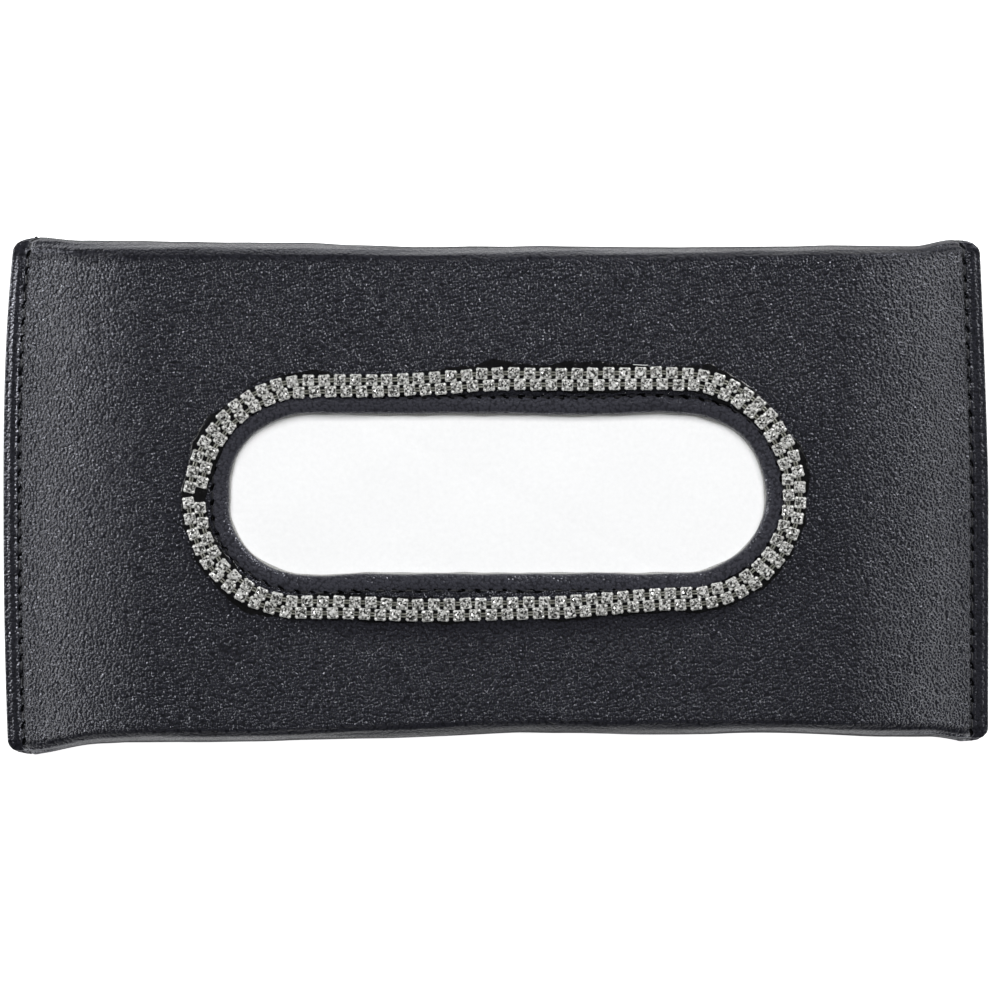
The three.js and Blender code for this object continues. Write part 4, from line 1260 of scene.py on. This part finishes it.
def glue_bed():
    """Set glue under and between the stones, with an uneven edge."""
    count, columns, edge = 900, 26, 0.25 * MM
    inner_size, inner_least, inner_most = 0.5 * MM, -0.2 * MM, 1.5 * MM
    outer_size, outer_least, outer_most = 0.6 * MM, -0.3 * MM, 2 * MM
    rim_depth, dome_height, bottom_depth = 0.20 * MM, 0.52 * MM, 0.45 * MM
    middle, outward = chain_line(CHAIN_MIDDLE, count)
    share = np.arange(count) / count
    inner = glue_edge(share * TURN, 31, inner_size) + swells(share, GLUE_INSIDE_SHARES)
    inner = edge - CHAIN_EDGE - np.clip(inner, inner_least, inner_most)
    outer = glue_edge(share * TURN, 32, outer_size) + swells(share, GLUE_OUTSIDE_SHARES)
    outer = edge + CHAIN_EDGE + np.clip(outer, outer_least, outer_most)

    def across(part):
        return middle + outward * (inner + (outer - inner) * part)[:, None]

    loops = []
    for part in np.linspace(0, 1, columns):
        spot = across(part)
        lumps = waves(*spot.T, GLUE_LUMPS) + waves(*spot.T, GLUE_SWELL)
        dome = math.sin(math.pi * part) ** 0.4 * (dome_height + lumps)
        loops.append(at_height(spot, FRONT_Z - rim_depth + dome))
    loops += [at_height(across(part), FRONT_Z - bottom_depth) for part in (0.9, 0.5, 0.1)]
    piece("glue_bed", *loft(np.stack(loops, 1), ring=True), GLUE_PAINT, "glue", replaces=["chain_glue_bed"])


def by_the_chain(share, out):
    """Places beside the chain: at shares round the slot and distances out from the chain's middle."""
    count = 4000
    middle, outward = chain_line(CHAIN_MIDDLE, count)
    index = (np.asarray(share) * count).astype(int) % count
    return middle[index] + outward[index] * np.broadcast_to(out, index.shape)[:, None]


def string(places, height, wide, thick=None):
    """A thin cord over places on the front."""
    return tubes([at_height(places, FRONT_Z + height)], [np.tile(UP, (len(places), 1))], wide, thick)


def glue_strings():
    """Fine strings that the glue drew where it was laid on."""
    height, wide, thick = 0.05 * MM, 0.13 * MM, 0.09 * MM
    shares = np.linspace(0, 1, 24)
    parts = []
    for start, end, bulge in GLUE_STRING_SHARES:
        out = CHAIN_EDGE + bulge * HAND_STRAY * np.sin(math.pi * shares)
        parts.append(string(by_the_chain(start + (end - start) * shares, out), height, wide, thick))
    piece("glue_strings", *joined(parts), GLUE_PAINT, "glue")


def bead(sides=8, rings=4):
    loops = []
    for tilt in np.linspace(-1, 1, rings + 1) * math.pi / 2.2:
        angles = np.arange(sides) / sides * TURN
        wide = math.cos(tilt)
        loops.append([(wide * math.cos(a), wide * math.sin(a), math.sin(tilt)) for a in angles])
    return loft(loops)


def crumbs(name, count, sizes, material, seed):
    """Small beads along both sides of the chain: drops of set glue, and pale crumbs that are painted
    highlights on the glue.
    """
    nearest, furthest = -0.1 * MM, 0.9 * MM
    draw = np.random.default_rng(seed)
    outs = np.where(draw.random(count) < 0.5, -1, 1) * (CHAIN_EDGE + draw.uniform(nearest, furthest, count))
    points, faces = bead()
    parts = []
    for x, y in by_the_chain(draw.random(count), outs):
        size = draw.uniform(*sizes) * np.array([1, draw.uniform(0.5, 1), 0.6])
        parts.append((points.reshape(-1, 3) * size + np.array([x, y, FRONT_Z]), faces))
    piece(name, *joined(parts), material, "glue")


def glue_drips():
    smallest_drop, largest_drop = 0.10 * MM, 0.24 * MM
    smallest_crumb, largest_crumb = 0.05 * MM, 0.13 * MM
    crumbs("glue_drops", 90, (smallest_drop, largest_drop), GLUE_PAINT, 35)
    # Pale crumbs: painted highlights on the glue
    crumbs("glue_glint_crumbs", 34, (smallest_crumb, largest_crumb), GLINT_CRUMB_PAINT, 36)


def loose_fibre():
    """A short white fibre caught in the glue."""
    start, length = 0.146, 3.6 * MM
    out, bend, height, radius = 3.1 * MM, 0.2 * MM, 0.45 * MM, 0.07 * MM
    share = np.linspace(0, 1, 12)
    places = by_the_chain(start + share * length / slot_length(CHAIN_MIDDLE), out + bend * share**2)
    piece("loose_fibre", *string(places, height, radius), TISSUE_PAINT, "tissue")


# Tissues
def fold_line(layers, bottom, top, half, straight_points=9, turn_points=5):
    """A sheet folded to and fro, as (across, up), from the bottom layer to the top one."""
    rise = (top - bottom) / (layers - 1)
    bend = rise / 2
    line = []
    for layer in range(layers):
        way = 1 if layer % 2 == 0 else -1
        height = bottom + rise * layer
        line += [(way * y, height) for y in np.linspace(-half + bend, half - bend, straight_points)]
        if layer < layers - 1:
            for angle in np.linspace(-math.pi / 2, math.pi / 2, turn_points + 2)[1:-1]:
                across = half - bend + bend * math.cos(angle)
                line.append((way * across, height + bend + bend * math.sin(angle)))
    return np.array(line)


def tissue_pile():
    sheet, roof_gap = 0.5 * MM, 2 * MM
    low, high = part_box("tissue_stack")
    line = fold_line(13, low.z + sheet, high.z - sheet, high.y)
    roof = (line[:, 1] + LEATHER + roof_gap - BACK_Z - END_DEPTH) / (DEPTH - END_DEPTH)
    room = HALF_LENGTH - RAMP_START - RAMP * (1 - (1 - np.clip(roof, 0, 1)) ** (1 / RAMP_POWER))
    half_x = np.minimum(high.x, room)
    points = extruded(np.linspace(-1, 1, 40)[:, None] * half_x, line)
    points[..., 1] += waves(points[..., 0], line[:, 1] * 20, PILE_STRAY)
    points[..., 2] += waves(points[..., 0], points[..., 1], PILE_SWELL)
    faces = grid_faces(*points.shape[:2])
    pile = piece("tissue_pile", points, faces, TISSUE_PAINT, "tissue", replaces=["tissue_stack"])
    thicken(pile, sheet, 0)


def tissue_sheet():
    """The tissue that comes out next, with a slanting crease."""
    sheet, end_margin = 0.12 * MM, 9 * MM
    crease_depth, crease_place, crease_width = 0.10 * MM, 2 * MM, 1.5 * MM
    low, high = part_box("top_tissue")
    line = fold_line(2, low.z + sheet, high.z - sheet, high.y, straight_points=90)
    xs = np.linspace(low.x + end_margin, high.x - end_margin, 120)
    points = extruded(xs, line)
    crease = bell(points[..., 0] * 0.45 + points[..., 1] * 0.89 - crease_place, crease_width)
    points[..., 2] += waves(points[..., 0], points[..., 1], TISSUE_SWELL) - crease_depth * crease
    faces = grid_faces(*points.shape[:2])
    tissue = piece("top_tissue_sheet", points, faces, TISSUE_PAINT, "tissue", replaces=["top_tissue"])
    thicken(tissue, sheet, 0)


# Stiffeners behind the front
def front_layer(name, node, half, hole, below, thickness, material, slot):
    xs, ys = (np.linspace(-reach, reach, count) for reach, count in zip(half, (91, 31)))
    rows, columns = len(xs), len(ys)
    faces, rim = opened_grid(rows, columns, (8, rows - 9, 4, columns - 5))
    grid = np.stack(np.meshgrid(xs, ys, indexing="ij"), -1).reshape(-1, 2)
    outer = grid[rim]
    inner, _ = on_rounded_hole(outer, np.zeros(2), (SLOT_STRAIGHT + hole, hole), hole)
    rings = inner + np.linspace(0, 1, 6)[:-1, None, None] * (outer - inner)
    x, y = np.concatenate([grid, rings.reshape(-1, 2)]).T
    ids = np.arange(rings.shape[0] * len(rim)).reshape(-1, len(rim)) + rows * columns
    all_faces = np.concatenate([faces, ring_faces(np.concatenate([ids, rim[None]]))])
    points = np.stack([x, y, sleeve_base(x, y)[..., 2] - below], -1)
    layer = piece(name, points, all_faces, material, slot, replaces=[node])
    thicken(layer, thickness)
    return layer


def front_stiffeners():
    gap, board, cloth = 0.05 * MM, MM, 0.35 * MM
    board_half, board_hem = (90 * MM, 47.3 * MM), 2.8 * MM
    cloth_half, cloth_hem = np.array([89 * MM, 46.5 * MM]), 4.4 * MM
    board_radius, radius = SLOT_HALF_WIDTH + board_hem, SLOT_HALF_WIDTH + cloth_hem
    below = LEATHER + gap
    front_layer(
        "front_stiffener", "front_board", board_half, board_radius, below, board, BOARD_PAINT, "board",
    )
    lining = front_layer(
        "front_lining_cloth", "front_lining", cloth_half, radius, below + board + gap, cloth, LINING_PAINT,
        "lining",
    )
    flat = 2 * cloth_half
    area = float(flat.prod() - math.pi * radius**2 - 4 * SLOT_STRAIGHT * radius)


# Back
def window_distance(x, y):
    """How far a place on the back is outside the refill window, and its place along the nearest side."""
    past_x = np.maximum(np.abs(x) - WINDOW_HALF[0] + WINDOW_CORNER, 0)
    past_y = np.maximum(np.abs(y - WINDOW_CENTRE[1]) - WINDOW_HALF[1] + WINDOW_CORNER, 0)
    return np.hypot(past_x, past_y) - WINDOW_CORNER, np.where(past_x > past_y, y, x)


def back_seams(x, y):
    """Where the needle holes of the back's seams are, for its paint."""
    from_end, from_side = HALF_LENGTH - np.abs(x), PANEL_EDGE - np.abs(y)
    return seam_place([(from_end - END_SEAM, y / END_PITCH), (from_side - SIDE_SEAM, x / BACK_PITCH)])


def back_relief(x, y):
    """How far the back swells or sinks, outwards."""
    window_edge, side_ease = 0.5 * MM, MM
    from_side = PANEL_EDGE - np.abs(y)
    from_window, along = window_distance(x, y)
    sewn = stitch_marks(from_window - WINDOW_SEAM, along, BACK_STITCH)
    relief = end_marks(HALF_LENGTH - np.abs(x), y) + stitch_marks(from_side - SIDE_SEAM, x, BACK_STITCH)
    relief = relief + np.where(from_window > window_edge, sewn, 0) + waves(x, y, BACK_SWELL)
    return relief * smooth(from_side / side_ease)


def back_skin(x, y):
    return np.stack([drawn_in(x, y, half_width_at(x, y)), y, BACK_Z - back_relief(x, y)], -1)


def back_ends(side, row, xs, y):
    return turned_rows(row, -UP, np.array([side, 0, 0]), NOSE, (2 * MM, 6 * MM))


def window_hole(outer):
    return on_rounded_hole(outer, WINDOW_CENTRE, WINDOW_HALF + NOSE, WINDOW_CORNER + NOSE)


def window_rows(row, out):
    return turned_rows(row, -UP, -at_height(out, 0), NOSE, (2 * MM,))


def back_leather():
    block_x, block_low, block_high = 95 * MM, 11 * MM, 45.6 * MM
    end_zone, side_zone = 7 * MM, 5 * MM
    side_x = ladder((block_x, HALF_LENGTH - end_zone, HALF_LENGTH - NOSE), (17, 26))
    lower = ladder((-PANEL_EDGE, -PANEL_EDGE + side_zone, block_low), (16, 70))[:-1]
    y_parts = [np.append(-PANEL_EDGE, lower), np.linspace(block_low, block_high, 50)]
    y_parts.append(ladder((block_high, PANEL_EDGE), (4,)))
    points, faces, seams, _ = holed_panel(
        mirrored(block_x, side_x, 191), y_parts, back_skin, back_seams, back_ends, window_hole,
        np.linspace(0, 1, 13)[:-1], window_rows,
    )
    back = piece("back_leather", points, faces, BACK_PAINT, "leather", replaces=["back_panel"], merge=False)
    dress(back, 0.0, seams)
    thicken(back, SHELL)


def back_stitches():
    panel_margin, return_margin, end_margin, corner_room = 4 * MM, 10 * MM, 3 * MM, 2 * MM
    thread_depth, window_sink = 0.02 * MM, 0.3 * MM
    z = BACK_Z - thread_depth
    seam_x = HALF_LENGTH - END_SEAM
    rows = [
        ("back", PANEL_EDGE - SIDE_SEAM, panel_margin), ("return", RETURN_EDGE + SIDE_SEAM, return_margin),
    ]
    for row, y, margin in rows:
        for name, side in (("upper", 1), ("lower", -1)):
            straight_stitches(f"{row}_stitches_{name}", seam_x - margin, side * y, z)
    y = np.linspace(-PANEL_EDGE + end_margin, PANEL_EDGE - end_margin, 90)
    for name, side in (("left", -1), ("right", 1)):
        x = drawn_in(np.full(y.shape, side * seam_x), y, half_width_at(0 * y, y) + corner_room)
        line = at_height(np.stack([x, y], -1), z)
        stitches(f"back_end_stitches_{name}", line, -UP, y / END_PITCH)
    loop = rounded_loop(WINDOW_CENTRE, WINDOW_HALF + WINDOW_SEAM, WINDOW_CORNER + WINDOW_SEAM, 600)
    loop_stitches("window_stitches", at_height(loop, z), BACK_PITCH, sink=window_sink)


def rounded_loop(centre, half, radius, count):
    """Evenly spread places round a rounded rectangle."""
    corners = []
    for quarter, way in enumerate(((1, 1), (-1, 1), (-1, -1), (1, -1))):
        middle = centre + np.array(way) * (half - radius)
        for angle in np.linspace(quarter, quarter + 1, 9) * math.pi / 2:
            corners.append(middle + radius * np.array([math.cos(angle), math.sin(angle)]))
    return spread(corners, count)


# Refill flap
# The flap's leather in loops, in shares of FLAP_EDGE: the insets at the free edges and at the hinge, and then
# for the inside how far it is below the flap's top, and for the outside how far above its outer face
FLAP_EDGE = MM
FLAP_INSIDE_SHARES = [
    (2.2, 6.6, 1.5), (1.5, 6.0, 1.4), (1.5, 6.0, 0.15), (1.3, 5.8, 0), (0.5, 0.4, 0), (0.12, 0.08, 0.12),
    (0, 0, 0.45),
]
FLAP_OUTSIDE_SHARES = [(0, 0, 0.55), (0.12, 0.10, 0.22), (0.45, 0.40, 0.04)]
FLAP_INSET_SHARES = [1.0, 1.8, 2.3, 2.6, 2.8, 3.0, 3.2, 3.4, 3.8, 4.6, 6.0, 8.0, 10.0, 12.0, 14.0]
CLOTH_INSET_SHARES = [1.85, 4, 8, 12, 15, 17]


def flap_outer(y):
    """Height of the flap's outside, which thins towards its hinge."""
    rise = np.clip((y - flap_high.y + FLAP_BEVEL) / FLAP_BEVEL, 0, 1)
    return flap_low.z + rise * (flap_high.z - flap_low.z - FLAP_SKIVE)


def flap_loop(inset, hinge_inset, count=640):
    """A loop inside the flap's outline: rounded at its free edge, nearly square at its hinge."""
    least_corner, small = 0.5 * MM, 0.4 * MM
    x = flap_high.x - inset
    low, high = flap_low.y + inset, flap_high.y - hinge_inset
    corner = max(FLAP_CORNER - inset, least_corner)
    arcs = [
        (x - corner, low + corner, corner, 0.75), (x - small, high - small, small, 0.0),
        (-x + small, high - small, small, 0.25), (-x + corner, low + corner, corner, 0.5),
    ]
    corners = []
    for centre_x, centre_y, radius, start in arcs:
        for angle in np.linspace(start, start + 0.25, 9) * TURN:
            corners.append((centre_x + radius * math.cos(angle), centre_y + radius * math.sin(angle)))
    return spread(corners, count)


def flap_leather():
    seam = flap_loop(FLAP_SEAM, FLAP_HINGE_SEAM)
    count = len(seam)
    seam_length = lengths(closed(seam))[-1]
    pitch = seam_length / round(seam_length / BACK_PITCH)
    stitch = (pitch, 0.12 * MM, 0.4 * MM)
    along = np.arange(count) / count * seam_length
    loops, seams = [], []
    for inset, hinge_inset, drop in FLAP_INSIDE_SHARES:
        loop = flap_loop(inset * FLAP_EDGE, hinge_inset * FLAP_EDGE)
        loops.append(at_height(loop, np.maximum(flap_high.z - drop * FLAP_EDGE, flap_outer(loop[:, 1]))))
        seams.append(seam_place([(np.full(count, NO_SEAM), along / pitch)]))
    flat_rows = [(inset, inset + 2.0 * smooth(inset / 3), 0) for inset in FLAP_INSET_SHARES]
    for inset, hinge_inset, rise in FLAP_OUTSIDE_SHARES + flat_rows:
        loop = flap_loop(inset * FLAP_EDGE, hinge_inset * FLAP_EDGE)
        across = np.full(count, inset * FLAP_EDGE - FLAP_SEAM)
        swell = waves(*loop.T, FLAP_SWELL) * smooth(inset / 4) * (inset < FLAP_INSET_SHARES[-1])
        z = np.minimum(flap_outer(loop[:, 1]) + rise * FLAP_EDGE, flap_high.z)
        loops.append(at_height(loop, z - stitch_marks(across, along, stitch) - swell))
        seams.append(seam_place([(across, along / pitch)]))
    leather = piece(
        "flap_leather", *loft(loops), BACK_PAINT, "leather", body="refill_flap", replaces=["flap_cover"],
        merge=False,
    )
    dress(leather, 0.0, joined_marks(*seams))
    loop_stitches("flap_stitches", at_height(seam, flap_outer(seam[:, 1])), BACK_PITCH, body="refill_flap")


def flap_cloth():
    sheet, hinge_inset_share, count = 0.3 * MM, 6.35, 320
    low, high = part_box("flap_lining")
    loops = []
    for inset in CLOTH_INSET_SHARES:
        hinge_inset = hinge_inset_share + (inset - CLOTH_INSET_SHARES[0]) * 0.82
        loop = flap_loop(inset * FLAP_EDGE, hinge_inset * FLAP_EDGE, count)
        swell = waves(*loop.T, CLOTH_SWELL) * smooth(inset / 4 - 0.4)
        loops.append(at_height(loop, (low.z + high.z) / 2 + swell))
    points = np.stack(loops)
    faces = grid_faces(len(loops), count, close_columns=True).tolist()
    faces.append(list(range((len(loops) - 1) * count, len(loops) * count)))
    cloth = piece(
        "flap_lining_cloth", points, faces, LINING_PAINT, "lining", body="refill_flap",
        replaces=["flap_lining"], merge=False,
    )
    thicken(cloth, sheet, 0)


# The hinge strip's section, from the flap's side, as shares of its width and its height
HINGE_OUTER_SHARES = [
    (0, 0.0833), (0.1154, 0.3333), (0.2115, 0.5083), (0.2885, 0.5083), (0.3462, 0.4083), (0.4808, 0.2083),
    (0.6346, 0.025), (0.7692, 0.0083), (0.8269, 0.075), (0.8846, 0.0083), (0.9519, 0.025), (0.9904, 0.1667),
]
HINGE_INNER_SHARES = [
    (1, 0.4583), (0.9904, 0.9167), (0.6538, 0.9917), (0.4038, 0.9583), (0.3077, 0.8583), (0.2308, 0.775),
    (0.1154, 0.675), (0, 0.4583),
]


def hinge_leather():
    """The strip that the flap folds on: skived thin at the hinge line, and sewn to the back above it."""
    flap_side, sewn_side = 41.2 * MM, 47 * MM
    seam_y, seam_z, end_margin = 49.8 * MM, 8.82 * MM, 2 * MM
    low, high = np.array([flap_side, hinge_low.z]), np.array([hinge_high.y, hinge_high.z])
    section = low + np.array(HINGE_OUTER_SHARES + HINGE_INNER_SHARES) * (high - low)
    xs = np.linspace(hinge_low.x, hinge_high.x, 90)
    points = extruded(xs, section)
    points[..., 2] -= waves(xs[:, None], section[:, 0], HINGE_SWELL) * (section[:, 0] > sewn_side)
    strip = piece(
        "hinge_leather", *loft(points), BACK_PAINT, "leather", body=None, replaces=["flap_hinge_strip"],
    )
    dress(strip, 0.0, plain_marks(len(strip.data.vertices)))
    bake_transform(strip)
    straight_stitches("hinge_stitches", hinge_high.x - end_margin, seam_y, seam_z)


# Visor clips
def clip_line():
    """A clip's middle line in (y, z): from the end of its base, round the bend, to the tip of its tongue."""
    half = STEEL / 2
    bend_y = base_low.y + BEND_RADIUS
    base_z = base_high.z - half
    line = [(y, base_z) for y in np.concatenate([
        base_high.y - CLIP_BASE_CORNER * (1 - np.cos(np.linspace(0, math.pi / 2, 9))),
        np.linspace(base_high.y - CLIP_BASE_CORNER, bend_y, 20)[1:],
    ])]
    radius = BEND_RADIUS - half
    for angle in np.linspace(math.pi / 2, 3 * math.pi / 2, 33)[1:]:
        line.append((bend_y + radius * math.cos(angle), BEND_RADIUS + radius * math.sin(angle)))
    pinch_y = tongue_high.y - CLIP_LIP
    tip_ys = tongue_high.y - CLIP_TIP * (1 - np.cos(np.linspace(math.pi / 2, 0, 13)))
    for y in np.concatenate([np.linspace(bend_y, tip_ys[0], 34)[1:-1], tip_ys]):
        share = (y - bend_y) / (pinch_y - bend_y) if y < pinch_y else (tongue_high.y - y) / CLIP_LIP
        line.append((y, half + CLIP_PINCH * float(smooth(share))))
    return np.array(line)


def half_width_near_tip(full, radius, from_tip):
    past = np.clip(radius - from_tip, 0, radius)
    return full - radius + np.sqrt(np.maximum(radius**2 - past**2, 0))


def clip_strap(name, x, line, normals, widths):
    """A clip's one bent strap, with its edges a little rounded."""
    half, soft = STEEL / 2, 0.18 * MM
    section = [
        (-1, -half + soft, 0), (-1, half - soft, 0), (-1, half, soft), (1, half, soft), (1, half - soft, 0),
        (1, -half + soft, 0), (1, -half, soft), (-1, -half, soft),
    ]
    loops = [
        [(x + way * (width - inset), *(place + normal * out)) for way, out, inset in section]
        for place, normal, width in zip(line, normals, widths)
    ]
    nodes = [f"clip_base_{name}", f"clip_tongue_{name}"]
    return piece(f"clip_{name}", *loft(loops), STEEL_PAINT, "steel", body=None, replaces=nodes)


def clips():
    least_taper, fixed_z, moving_z = 0.2 * MM, 8 * MM, 3 * MM
    line = clip_line()
    tangent = np.gradient(line, axis=0)
    tangent /= np.linalg.norm(tangent, axis=1, keepdims=True)
    normals = np.stack([-tangent[:, 1], tangent[:, 0]], -1)
    full = (base_high.x - base_low.x) / 2
    widths = np.where(
        np.arange(len(line)) < np.argmin(line[:, 0]),
        half_width_near_tip(full, CLIP_BASE_CORNER, base_high.y - line[:, 0]),
        half_width_near_tip(full, CLIP_TIP, tongue_high.y - line[:, 0]),
    )
    widths = np.maximum(widths, full - CLIP_TIP + least_taper)
    for name, side in (("left", -1), ("right", 1)):
        x = side * (base_low.x + base_high.x) / 2
        strap = clip_strap(name, x, line, normals, widths)
        smooth_by_angle(strap)
        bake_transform(strap)
        for place in ("lower", "upper"):
            rivet(f"clip_rivet_{name}_{place}")


def smooth_by_angle(thing, limit=0.6):
    """Keeps the sharp edges of a metal piece sharp."""
    tool = bmesh.new()
    tool.from_mesh(thing.data)
    for edge in tool.edges:
        if len(edge.link_faces) == 2 and edge.calc_face_angle() > limit:
            edge.smooth = False
    tool.to_mesh(thing.data)
    tool.free()


def rivet(node):
    """A rivet with a domed head, a shank and a tail that is rolled over a little at its rim."""
    middle, shank, tail, head_height, tail_height = 0.05 * MM, 1.5 * MM, 3 * MM, 1.2 * MM, 0.9 * MM
    rim, bevel, end_bevel = 0.15 * MM, 0.1 * MM, 0.15 * MM
    low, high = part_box(node)
    x, y = (low.x + high.x) / 2, (low.y + high.y) / 2
    head, head_top, tail_low = (high.x - low.x) / 2, low.z + head_height, high.z - tail_height
    profile = [(middle, low.z)]
    for angle in np.linspace(0, math.pi / 2, 9)[1:]:
        profile.append((head * math.sin(angle), head_top - rim - (head_height - rim) * math.cos(angle)))
    profile += [
        (head, head_top), (shank, head_top), (shank, tail_low), (tail - bevel, tail_low),
        (tail, tail_low + end_bevel), (tail, high.z - end_bevel), (tail - end_bevel, high.z), (middle, high.z),
    ]
    angles = np.arange(40) / 40 * TURN
    loops = [[(x + r * math.cos(a), y + r * math.sin(a), z) for a in angles] for r, z in profile]
    smooth_by_angle(piece(f"{node}_smooth", *loft(loops), NICKEL_PAINT, "nickel", replaces=[node]))


# Dress the frame
def dress_frame():
    """Paints the frame's own nodes, for those that no piece replaces."""
    paints = {
        "leather": BACK_PAINT, "board": BOARD_PAINT, "lining": LINING_PAINT, "glue": GLUE_PAINT,
        "crystal": STONE_PAINT, "steel": STEEL_PAINT, "nickel": NICKEL_PAINT, "tissue": TISSUE_PAINT,
    }
    slots = {part["node"]: part["material_slot"] for part in frame["record"]["subparts"]}
    for name, node in frame["nodes"].items():
        node.data.materials.clear()
        node.data.materials.append(paints[slots[name]])


camera()
pale_floor()
lights()
dress_frame()
front_leather()
end_stitches()
slot_roll()
slot_backing_and_rim_light()
glue_bed()
glue_strings()
glue_drips()
loose_fibre()
crystal_chain("inner", CHAIN_MIDDLE - ROW_SPACING / 2, CHAIN_GAP, 51)
crystal_chain("outer", CHAIN_MIDDLE + ROW_SPACING / 2, 0, 52)
tissue_pile()
tissue_sheet()
front_stiffeners()
back_leather()
back_stitches()
flap_leather()
flap_cloth()
hinge_leather()
clips()
